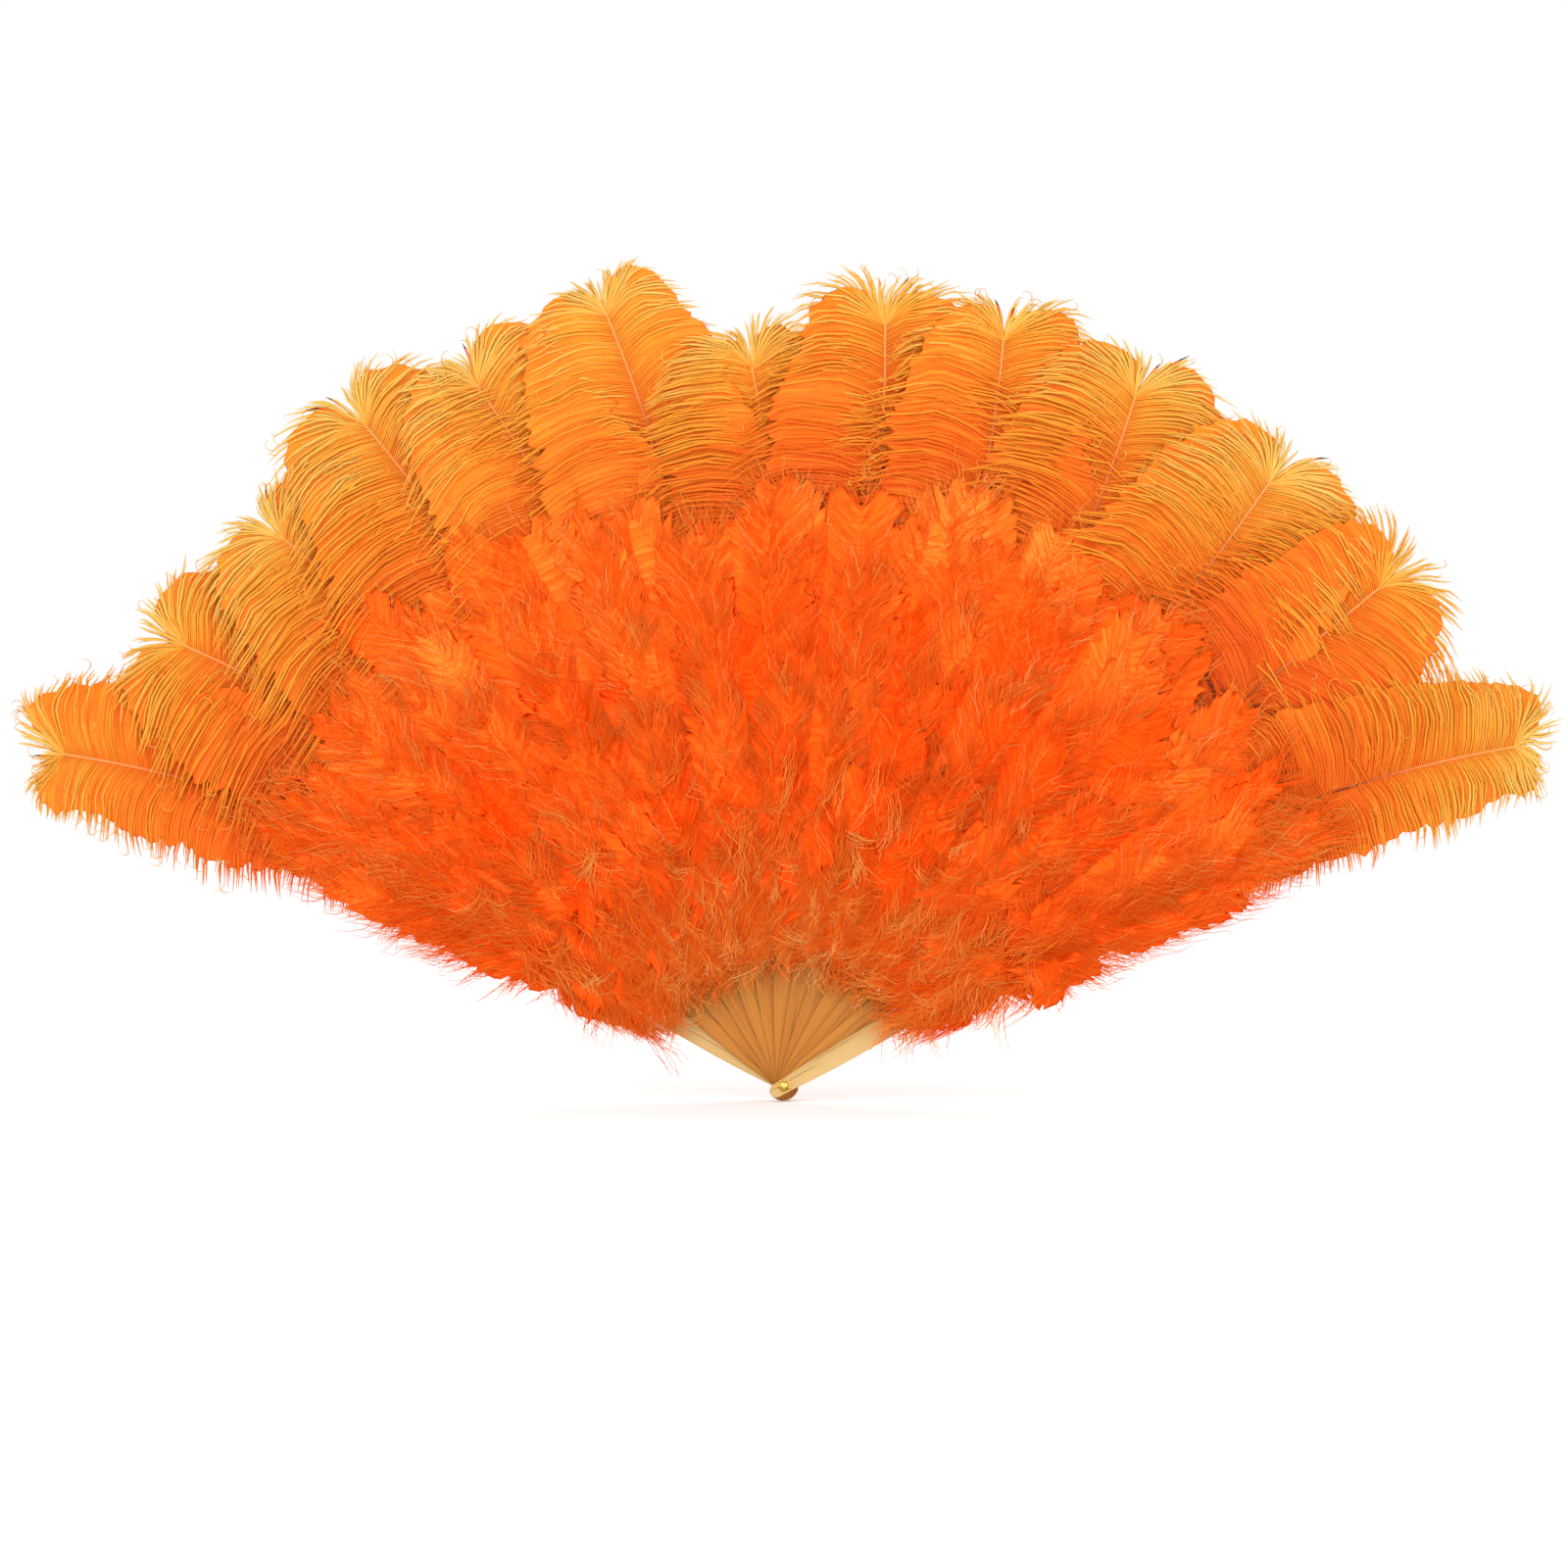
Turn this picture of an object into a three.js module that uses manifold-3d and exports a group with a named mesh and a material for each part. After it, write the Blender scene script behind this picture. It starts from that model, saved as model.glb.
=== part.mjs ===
// A folding feather fan, shown open, in millimetres.
// +Z is up, the front faces -Y, and the origin is on the rivet's axis, halfway through the stack of sticks.
// Each piece is drawn in a flat frame: x across its stick, y along it away from the rivet, and z towards the
// viewer.
import * as THREE from "three";
import { mergeVertices } from "three/addons/utils/BufferGeometryUtils.js";
import Module from "manifold-3d";

const wasm = await Module();
wasm.setup();

// Layout of the open fan
const stickCount = 13;
const degree = Math.PI / 180;
const openSpread = 120 * degree;
const runningGap = 0.4;
const seatGap = 0.3;
const featherGap = 0.8;
const cutOverrun = 2;

// Bamboo sticks
const stickLength = 215;
const stickThickness = 1.6;
const guardThickness = 3;
const headReach = 8;
const eyeWall = 1.7;
const gorgeWidth = 11;
const gorgeFullAt = 50;
const shoulderStart = 98;
const shoulderLength = 32;
const ribWidth = 6;
const ribTipWidth = 4.4;
const edgeEase = 0.25;
const curveSteps = 4;

// Rivet and washers
const rivetDiameter = 3;
const rivetClearance = 0.3;
const rivetHeadLip = 1.3;
const rivetHeadHeight = 1.1;
const washerRim = 1.6;
const washerThickness = 0.5;
const roundSteps = 16;

// Ostrich plumes
const plumeReach = 420;
const quillThickness = 0.6;
const quillWidth = 2.4;
const quillTipWidth = 1;
const quillSeatAt = 145;
const vaneStart = 212;
const barbTipThickness = 0.3;
const barbLengthAtBase = 42;
const barbLengthAtTip = 72;
const barbLengthSwell = 24;
const tipCurl = 18;
const clumpsPerSide = 12;
const barbAngleAtBase = 64 * degree;
const barbAngleAtTip = 40 * degree;
const barbBend = 12 * degree;
const tipClumpAngle = 8 * degree;
const webShare = 0.72;
const clumpTipShare = 0.6;
const shortClumpShare = 0.8;
// One entry for each stick, from the left guard to the right guard.
const plumeReachShares = [1.01, 0.95, 0.95, 1, 0.975, 1.01, 0.92, 0.98, 0.99, 0.985, 0.985, 0.99, 1.02];
const plumeLeanShares = [
  -0.09, -0.06, -0.04, -0.04, -0.06, -0.05, -0.04, -0.04, -0.06, -0.05, -0.02, 0, 0.085,
];
const leftBarbShares = [0.7, 1, 1.05, 1.1, 0.95, 0.95, 0.9, 1.08, 1, 1.05, 1.05, 1.1, 0.9];
const rightBarbShares = [1, 1.1, 1.05, 1.05, 1, 0.9, 0.95, 1.05, 1, 1, 1.1, 1.05, 0.65];

// Marabou tufts
const tuftReach = 305;
const tuftGap = 0.5;
const tuftDepth = 28;
const tuftFrayLength = 16;
const tuftOuterWidth = 48;
const tuftEdgeShare = 0.42;
const tuftOuterEdgeShare = 0.14;
const tuftColumns = 4;
const tuftReachShares = [0.98, 1, 1.04, 1.03, 1, 0.98, 0.99, 1, 1.02, 1, 1.03, 1, 1];
// Rows of a tuft as shares of its length, of its depth there, and of its width beyond an outer stick. Each tier
// of down ends in a step.
const tuftRowShares = [
  [0, 0.3, 0.2],
  [0.06, 0.72, 0.42],
  [0.16, 0.96, 0.64],
  [0.3, 1, 0.86],
  [0.42, 0.94, 0.98],
  [0.46, 0.76, 1],
  [0.58, 0.8, 1],
  [0.68, 0.72, 1],
  [0.72, 0.54, 1],
  [0.84, 0.46, 0.97],
  [0.94, 0.3, 0.84],
  [1, 0.1, 0.55],
];

// Linking ribbon
const ribbonWidth = 10;
const ribbonThickness = 0.4;
const ribbonInset = 29;

const spacing = openSpread / (stickCount - 1);
const lastStick = stickCount - 1;
const middleStick = Math.floor(lastStick / 2);
const quillRecess = quillThickness + seatGap;
const bendStart = Math.max(stickLength, vaneStart);
const tuftStart = (gorgeWidth / 2 + seatGap + tuftGap / 2) / Math.sin(spacing / 2);
const ribbonAt = stickLength - ribbonInset;
const holeDiameter = rivetDiameter + 2 * rivetClearance;
const headWidth = holeDiameter + 2 * eyeWall;

const countTo = (count) => [...Array(count).keys()];
const isGuard = (stick) => stick === 0 || stick === lastStick;
const thicknessOf = (stick) => (isGuard(stick) ? guardThickness : stickThickness);
const sticksDepth = countTo(stickCount).reduce((sum, stick) => sum + thicknessOf(stick), 0);
const stackDepth = sticksDepth + lastStick * runningGap;

// The back of a stick's layer. They are stacked from the left guard at the back to the right guard in front.
function backOf(stick) {
  let depth = -stackDepth / 2;
  for (let below = 0; below < stick; below += 1) depth += thicknessOf(below) + runningGap;
  return depth;
}

const frontOf = (stick) => backOf(stick) + thicknessOf(stick);

// How far a plume has bent forward at a distance from the rivet. It depends on that distance alone, so the
// plumes stay nested when the fan folds.
function curlAt(radius) {
  const share = Math.max(0, radius - bendStart) / (plumeReach - bendStart);
  return tipCurl * share * share;
}

const matter = (name, color, roughness, metalness = 0) =>
  new THREE.MeshStandardMaterial({ name, color, roughness, metalness });
const bamboo = matter("bamboo", 0xd9a460, 0.55);
const paleBamboo = matter("guard_bamboo", 0xecd39a, 0.5);
const ostrich = matter("ostrich", 0xff9a1e, 0.85);
const marabou = matter("marabou", 0xff5d0a, 0.95);
const satin = matter("ribbon", 0xf2690f, 0.4);
const brass = matter("brass", 0xc9a24a, 0.3, 1);

// A closed three.js geometry as a solid that can be joined and cut.
function toSolid(geometry) {
  const bare = geometry.clone();
  bare.deleteAttribute("normal");
  bare.deleteAttribute("uv");
  const merged = mergeVertices(bare);
  const triVerts = new Uint32Array(merged.index.array);
  const vertProperties = merged.attributes.position.array;
  return new wasm.Manifold(new wasm.Mesh({ numProp: 3, vertProperties, triVerts }));
}

function toGeometry(solid) {
  const mesh = solid.getMesh();
  const geometry = new THREE.BufferGeometry();
  geometry.setAttribute("position", new THREE.BufferAttribute(new Float32Array(mesh.vertProperties), 3));
  geometry.setIndex(new THREE.BufferAttribute(new Uint32Array(mesh.triVerts), 1));
  const shaded = geometry.toNonIndexed();
  shaded.computeVertexNormals();
  return shaded;
}

function cylinderAlongZ(radius, from, to) {
  const geometry = new THREE.CylinderGeometry(radius, radius, to - from, roundSteps);
  geometry.rotateX(Math.PI / 2);
  geometry.translate(0, 0, (from + to) / 2);
  return geometry;
}

// A closed sheet, drawn flat from points that each have a front and a back, and from faces listed
// anticlockwise.
class Sheet {
  points = [];
  triangles = [];

  add(x, y, front, back) {
    return this.points.push({ x, y, front, back }) - 1;
  }

  triangle(a, b, c) {
    this.triangles.push([a, b, c]);
  }

  quad(a, b, c, d) {
    this.triangle(a, b, c);
    this.triangle(a, c, d);
  }

  // Joins rows of points, each listed from left to right, from the lowest row up.
  grid(rows) {
    for (let j = 0; j + 1 < rows.length; j += 1) {
      for (let i = 0; i + 1 < rows[j].length; i += 1) {
        this.quad(rows[j][i], rows[j][i + 1], rows[j + 1][i + 1], rows[j + 1][i]);
      }
    }
  }

  // The edges that only one triangle has, which the sheet's side walls stand on.
  rim() {
    const open = new Map();
    for (const [a, b, c] of this.triangles) {
      for (const [from, to] of [[a, b], [b, c], [c, a]]) {
        if (!open.delete(`${to} ${from}`)) open.set(`${from} ${to}`, [from, to]);
      }
    }
    return open.values();
  }

  toGeometry() {
    const count = this.points.length;
    const position = this.points.flatMap((p) => [p.x, p.y, p.front]);
    position.push(...this.points.flatMap((p) => [p.x, p.y, p.back]));
    const index = this.triangles.flatMap(([a, b, c]) => [a, b, c, a + count, c + count, b + count]);
    for (const [from, to] of this.rim()) index.push(from, from + count, to + count, from, to + count, to);
    const geometry = new THREE.BufferGeometry();
    geometry.setAttribute("position", new THREE.Float32BufferAttribute(position, 3));
    geometry.setIndex(index);
    const shaded = geometry.toNonIndexed();
    shaded.computeVertexNormals();
    return shaded;
  }
}

// Where a stick's outline turns, from the end of its head to its tip, as pairs of place along it and half
// width: a rounded head round the rivet, a broad gorge, a shoulder and a slim rib with a round tip.
function stickOutline() {
  const head = headWidth / 2;
  const gorge = gorgeWidth / 2;
  const rib = ribWidth / 2;
  const tip = ribTipWidth / 2;
  const steps = countTo(curveSteps);
  const turns = steps.map((i) => ((i + 0.5) / curveSteps) * (Math.PI / 2));
  const shares = steps.map((i) => (i + 1) / curveSteps);
  const rounded = (share) => THREE.MathUtils.lerp(head, gorge, share * (2 - share));
  const eased = (share) => THREE.MathUtils.lerp(gorge, rib, THREE.MathUtils.smoothstep(share, 0, 1));
  return [
    ...turns.map((turn) => [head - headReach - head * Math.cos(turn), head * Math.sin(turn)]),
    [0, head],
    ...shares.map((share) => [gorgeFullAt * share, rounded(share)]),
    [shoulderStart, gorge],
    ...shares.map((share) => [shoulderStart + shoulderLength * share, eased(share)]),
    ...turns.reverse().map((turn) => [stickLength - tip + tip * Math.cos(turn), tip * Math.sin(turn)]),
  ];
}

// A bamboo stick with eased edges, its rivet hole, and its rib cut back in front to seat the plume's quill.
function stickGeometry(stick) {
  const sheet = new Sheet();
  const [back, front] = [backOf(stick), frontOf(stick)];
  const rows = stickOutline().map(([y, half]) => {
    const ease = Math.min(edgeEase, half / 2);
    return [
      sheet.add(-half, y, front - ease, back + ease),
      sheet.add(ease - half, y, front, back),
      sheet.add(half - ease, y, front, back),
      sheet.add(half, y, front - ease, back + ease),
    ];
  });
  sheet.grid(rows);
  const recessLength = stickLength - quillSeatAt + cutOverrun;
  const recess = new THREE.BoxGeometry(gorgeWidth + cutOverrun, recessLength, quillRecess + cutOverrun);
  recess.translate(0, quillSeatAt + recessLength / 2, front - quillRecess + (quillRecess + cutOverrun) / 2);
  const hole = cylinderAlongZ(holeDiameter / 2, back - cutOverrun, front + cutOverrun);
  return toGeometry(toSolid(sheet.toGeometry()).subtract(toSolid(recess)).subtract(toSolid(hole)));
}

// The course of one plume: where its quill runs, and how its barbs stand, at each distance from the rivet.
function plumeForm(stick) {
  const tipAt = plumeReach * plumeReachShares[stick];
  const vaneEnd = tipAt - barbLengthAtTip;
  const lean = plumeReach * plumeLeanShares[stick];
  const vaneShare = (y) => (y - vaneStart) / (vaneEnd - vaneStart);
  return {
    layer: frontOf(stick),
    vaneEnd,
    middleAt: (y) => lean * Math.max(0, vaneShare(y)) ** 2,
    halfQuillAt: (y) => THREE.MathUtils.mapLinear(y, quillSeatAt, tipAt, quillWidth, quillTipWidth) / 2,
    barbAngleAt: (y) => THREE.MathUtils.lerp(barbAngleAtBase, barbAngleAtTip, vaneShare(y)),
    barbLengthAt(y) {
      const share = vaneShare(y);
      const straight = THREE.MathUtils.lerp(barbLengthAtBase, barbLengthAtTip, share);
      return straight + 4 * barbLengthSwell * share * (1 - share);
    },
  };
}

function addPlumePoint(sheet, plume, x, y, thickness) {
  const front = plume.layer + curlAt(Math.hypot(x, y));
  return sheet.add(x, y, front, front - thickness);
}

// One clump of barbs beyond the web, tapering from the web's edge. Heading is measured from the quill's
// direction.
function addClump(sheet, plume, low, high, heading, length) {
  const [from, to] = [sheet.points[low], sheet.points[high]];
  const x = (from.x + to.x) / 2;
  const y = (from.y + to.y) / 2;
  const tipX = x + Math.sin(heading) * length;
  const tipY = y + Math.cos(heading) * length;
  const tip = (edge) =>
    addPlumePoint(
      sheet,
      plume,
      tipX + (edge.x - x) * clumpTipShare,
      tipY + (edge.y - y) * clumpTipShare,
      barbTipThickness,
    );
  const [nextLow, nextHigh] = [tip(from), tip(to)];
  sheet.quad(low, nextLow, nextHigh, high);
}

// One side of the vane: a web of barbs along the quill, parting into clumps that bend outwards.
// Side is -1 on the left and 1 on the right. Returns the web's last point, where the plume's tip joins on.
function addVaneSide(sheet, plume, side, edge, heights, lengthShare) {
  const webThickness = (quillThickness + barbTipThickness) / 2;
  const web = heights.map((y, j) => {
    const heading = plume.barbAngleAt(y) - barbBend;
    const reach = plume.barbLengthAt(y) * webShare * lengthShare;
    const root = sheet.points[edge[j]];
    const x = root.x + side * Math.sin(heading) * reach;
    return addPlumePoint(sheet, plume, x, y + Math.cos(heading) * reach, webThickness);
  });
  for (let j = 0; j + 1 < heights.length; j += 1) {
    const y = (heights[j] + heights[j + 1]) / 2;
    const heading = side * (plume.barbAngleAt(y) + barbBend);
    const full = plume.barbLengthAt(y) * (1 - webShare) * lengthShare;
    const length = j % 2 ? full * shortClumpShare : full;
    if (side > 0) {
      sheet.quad(edge[j], web[j], web[j + 1], edge[j + 1]);
      addClump(sheet, plume, web[j], web[j + 1], heading, length);
    } else {
      sheet.quad(edge[j + 1], web[j + 1], web[j], edge[j]);
      addClump(sheet, plume, web[j + 1], web[j], heading, length);
    }
  }
  return web.at(-1);
}

// One ostrich plume: a tapering quill that starts in its seat on the stick, a vane down each side, and a blunt
// tip.
function plumeGeometry(stick) {
  const sheet = new Sheet();
  const plume = plumeForm(stick);
  const pitch = (plume.vaneEnd - vaneStart) / clumpsPerSide;
  const heights = countTo(clumpsPerSide + 1).map((j) => vaneStart + j * pitch);
  const quillPoint = (y, side) =>
    addPlumePoint(sheet, plume, plume.middleAt(y) + side * plume.halfQuillAt(y), y, quillThickness);
  const stations = [quillSeatAt + seatGap, ...heights];
  const left = stations.map((y) => quillPoint(y, -1));
  const right = stations.map((y) => quillPoint(y, 1));
  for (let j = 0; j + 1 < stations.length; j += 1) sheet.quad(left[j], right[j], right[j + 1], left[j + 1]);

  const webLeft = addVaneSide(sheet, plume, -1, left.slice(1), heights, leftBarbShares[stick]);
  const webRight = addVaneSide(sheet, plume, 1, right.slice(1), heights, rightBarbShares[stick]);

  const end = stations.length - 1;
  const webMiddle = addPlumePoint(
    sheet,
    plume,
    plume.middleAt(plume.vaneEnd),
    plume.vaneEnd + barbLengthAtTip * webShare,
    barbTipThickness,
  );
  sheet.triangle(left[end], right[end], webMiddle);
  sheet.triangle(left[end], webMiddle, webLeft);
  sheet.triangle(right[end], webRight, webMiddle);
  const tipLength = barbLengthAtTip * (1 - webShare);
  addClump(sheet, plume, webMiddle, webLeft, -tipClumpAngle, tipLength);
  addClump(sheet, plume, webRight, webMiddle, tipClumpAngle, tipLength * shortClumpShare);
  return sheet.toGeometry();
}

// A tuft's depth share and outer width share at a share of its length, between the rows of the table.
function tuftRowAt(share) {
  const next = Math.max(1, tuftRowShares.findIndex((row) => row[0] >= share));
  const [from, to] = [tuftRowShares[next - 1], tuftRowShares[next]];
  const between = (column) => THREE.MathUtils.mapLinear(share, from[0], to[0], from[column], to[column]);
  return { depth: between(1), width: between(2) };
}

// One point of a tuft, at a radius and a place across it from -1 on the left to 1 on the right.
function addTuftPoint(sheet, stick, radius, share, across, fray) {
  const { depth, width } = tuftRowAt(share);
  const inFront = Math.min(stick + 1, lastStick);
  const outer = stick === (across < 0 ? 0 : lastStick);
  const reach = radius + fray * Math.max(0, 2 * share - 1) ** 2;
  const sweep = outer ? Math.asin((tuftOuterWidth * width) / reach) : spacing / 2 - tuftGap / 2 / reach;
  const edge = outer ? tuftOuterEdgeShare : tuftEdgeShare;
  // The back steps forward where the next plume's quill and barbs begin to pass behind the tuft.
  const seat = radius > quillSeatAt ? frontOf(inFront) + featherGap : frontOf(stick) + seatGap;
  const back = seat + curlAt(reach);
  const front = back + tuftDepth * depth * THREE.MathUtils.lerp(1, edge, across * across);
  return sheet.add(reach * Math.sin(across * sweep), reach * Math.cos(across * sweep), front, back);
}

// One tuft of marabou down: a crowned ridge that fills its own wedge of the fan, in tiers, with frayed ends.
// The outer tufts spread past the guards.
function tuftGeometry(stick) {
  const sheet = new Sheet();
  const tipAt = tuftReach * tuftReachShares[stick];
  const radii = tuftRowShares.map(([share]) => THREE.MathUtils.lerp(tuftStart, tipAt, share));
  radii.push(quillSeatAt + seatGap);
  radii.sort((a, b) => a - b);
  const rows = radii.map((radius) => {
    const share = (radius - tuftStart) / (tipAt - tuftStart);
    return countTo(tuftColumns + 1).map((i) => {
      const fray = ((i % 2 ? 1 : -1) * tuftFrayLength) / 2;
      return addTuftPoint(sheet, stick, radius, share, (2 * i) / tuftColumns - 1, fray);
    });
  });
  sheet.grid(rows);
  return sheet.toGeometry();
}

// One span of the ribbon behind the ribs, from the middle of its own stick to the middle of the next one
// inwards.
function ribbonGeometry(stick) {
  const sheet = new Sheet();
  const inward = stick < middleStick ? 1 : -1;
  const next = stick + inward;
  const endTurn = seatGap / 2 / ribbonAt;
  const clearTurn = (ribWidth / 2 + seatGap) / ribbonAt;
  const stations = [
    [endTurn, stick],
    [clearTurn, stick],
    [spacing - clearTurn, next],
    [spacing - endTurn, next],
  ];
  if (inward < 0) stations.reverse();
  const rows = stations.map(([turn, carrier]) =>
    [ribbonAt - ribbonWidth / 2, ribbonAt + ribbonWidth / 2].map((radius) => {
      const front = backOf(carrier) - seatGap;
      const angle = inward * turn;
      return sheet.add(radius * Math.sin(angle), radius * Math.cos(angle), front, front - ribbonThickness);
    }),
  );
  for (let j = 0; j + 1 < rows.length; j += 1) {
    sheet.quad(rows[j][0], rows[j + 1][0], rows[j + 1][1], rows[j][1]);
  }
  return sheet.toGeometry();
}

// The rivet: a plain pin with a domed head in front and a peened tail of the same form behind.
function rivetGeometry() {
  const pin = rivetDiameter / 2;
  const head = pin + rivetHeadLip;
  const under = stackDepth / 2 + washerThickness + 2 * seatGap;
  const dome = countTo(curveSteps + 1).map((i) => {
    const turn = (i / curveSteps) * (Math.PI / 2);
    return new THREE.Vector2(head * Math.sin(turn), under + rivetHeadHeight * Math.cos(turn));
  });
  const upper = [...dome, new THREE.Vector2(pin, under)];
  const lower = upper.map((p) => new THREE.Vector2(p.x, -p.y)).reverse();
  const geometry = new THREE.LatheGeometry([...upper, ...lower].reverse(), roundSteps);
  geometry.rotateX(Math.PI / 2);
  return toGeometry(toSolid(geometry));
}

// A flat washer between a guard and the rivet's head or tail. Side is 1 in front and -1 behind.
function washerGeometry(side) {
  const near = stackDepth / 2 + seatGap;
  const far = near + washerThickness;
  const [from, to] = side > 0 ? [near, far] : [-far, -near];
  const disc = cylinderAlongZ(holeDiameter / 2 + washerRim, from, to);
  const hole = cylinderAlongZ(holeDiameter / 2, from - cutOverrun, to + cutOverrun);
  return toGeometry(toSolid(disc).subtract(toSolid(hole)));
}

function addMesh(group, name, geometry, material) {
  const mesh = new THREE.Mesh(geometry, material);
  mesh.name = name;
  group.add(mesh);
}

// Names count from the left guard, 01, to the right guard.
const stickLabel = (stick) => String(stick + 1).padStart(2, "0");

function stickName(stick) {
  if (stick === 0) return "guard_stick_left";
  if (stick === lastStick) return "guard_stick_right";
  return `stick_${stickLabel(stick)}`;
}

const fan = new THREE.Group();
// The flat drawing frame stands up: its y becomes +Z and its z becomes -Y.
const standing = new THREE.Group();
standing.rotation.x = Math.PI / 2;
fan.add(standing);

for (let stick = 0; stick < stickCount; stick += 1) {
  const leaf = new THREE.Group();
  leaf.rotation.z = openSpread / 2 - stick * spacing;
  addMesh(leaf, stickName(stick), stickGeometry(stick), isGuard(stick) ? paleBamboo : bamboo);
  addMesh(leaf, `plume_${stickLabel(stick)}`, plumeGeometry(stick), ostrich);
  addMesh(leaf, `marabou_${stickLabel(stick)}`, tuftGeometry(stick), marabou);
  if (stick !== middleStick) addMesh(leaf, `ribbon_${stickLabel(stick)}`, ribbonGeometry(stick), satin);
  standing.add(leaf);
}

addMesh(standing, "rivet", rivetGeometry(), brass);
addMesh(standing, "washer_front", washerGeometry(1), brass);
addMesh(standing, "washer_back", washerGeometry(-1), brass);

export default fan;
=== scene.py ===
"""The looks of a feather fan: ostrich plumes over marabou down, on thirteen bamboo leaves that turn on one rivet.

Every length is in metres and every angle in radians. A leaf is one stick with all that it carries. A leaf's pieces
are made as if it stood upright, with x across it, y through the stack and z along it, and are then turned into place.
"""

import logging
import math
import random
from dataclasses import dataclass, fields, replace
from enum import Enum, IntEnum
from typing import Optional, Sequence, Union
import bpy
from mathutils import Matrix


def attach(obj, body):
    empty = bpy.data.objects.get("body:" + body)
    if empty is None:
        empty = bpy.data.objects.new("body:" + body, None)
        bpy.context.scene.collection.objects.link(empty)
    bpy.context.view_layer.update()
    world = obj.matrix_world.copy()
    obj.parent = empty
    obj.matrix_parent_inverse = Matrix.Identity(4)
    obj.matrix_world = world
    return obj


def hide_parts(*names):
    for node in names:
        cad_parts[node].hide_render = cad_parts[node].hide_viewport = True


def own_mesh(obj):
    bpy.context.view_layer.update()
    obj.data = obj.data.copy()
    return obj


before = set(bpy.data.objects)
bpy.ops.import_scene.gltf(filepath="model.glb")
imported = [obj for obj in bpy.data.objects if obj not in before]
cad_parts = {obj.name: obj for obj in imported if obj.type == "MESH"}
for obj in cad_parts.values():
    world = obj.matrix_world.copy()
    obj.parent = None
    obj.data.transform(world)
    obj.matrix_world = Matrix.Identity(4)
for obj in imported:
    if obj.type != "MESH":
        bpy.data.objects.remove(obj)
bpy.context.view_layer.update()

import bpy
from mathutils import Matrix, Vector

MM = 0.001
WHITE = (1.0, 1.0, 1.0, 1.0)
SOCKET_KINDS = {int: "NodeSocketInt", float: "NodeSocketFloat"}
# The map's rows, from below: one for each tone of a strand, then one for each tone of a web or bed, then the
# shafts. What lies on a row keeps clear of the row's edges.
BAKE_MAP = "OFBake"
MAP_ROWS = 64
ROW_EDGE = 0.1
ROW_SHARE = 0.8
STRAND_TONES = 32
BODY_ROW = 32
BODY_TONES = 28
SHAFT_ROW = 61
log = logging.getLogger("feather_fan")

Pair = tuple[float, float]
Knots = Sequence[Pair]
Stops = Sequence[tuple[float, str]]
Shares = tuple[float, ...]
Colour = tuple[float, float, float, float]


# Node helpers


class Field:
    """A value in a node tree. Sums and products of fields add the nodes that work them out."""

    def __init__(self, bench: "NodeBench", socket: bpy.types.NodeSocket) -> None:
        """Keeps the bench and the socket that gives the value."""
        self.bench = bench
        self.socket = socket

    @property
    def is_vector(self) -> bool:
        """True for a vector or a colour."""
        return self.socket.type in ("VECTOR", "RGBA")

    def __add__(self, other: "Value") -> "Field":
        """This plus the other."""
        return self.bench.math("ADD", self, other)

    def __radd__(self, other: "Value") -> "Field":
        """The other plus this."""
        return self.bench.math("ADD", other, self)

    def __sub__(self, other: "Value") -> "Field":
        """This less the other."""
        return self.bench.math("SUBTRACT", self, other)

    def __rsub__(self, other: "Value") -> "Field":
        """The other less this."""
        return self.bench.math("SUBTRACT", other, self)

    def __mul__(self, other: "Value") -> "Field":
        """This times the other."""
        return self.bench.math("MULTIPLY", self, other)

    def __rmul__(self, other: "Value") -> "Field":
        """The other times this."""
        return self.bench.math("MULTIPLY", self, other)

    def __truediv__(self, other: "Value") -> "Field":
        """This over the other."""
        return self.bench.math("DIVIDE", self, other)

    def __pow__(self, other: "Value") -> "Field":
        """This to the power of the other."""
        return self.bench.math("POWER", self, other)

    def __neg__(self) -> "Field":
        """This with its sign changed."""
        return self.bench.math("MULTIPLY", self, -1.0)


Value = Union[Field, float, int]


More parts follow.
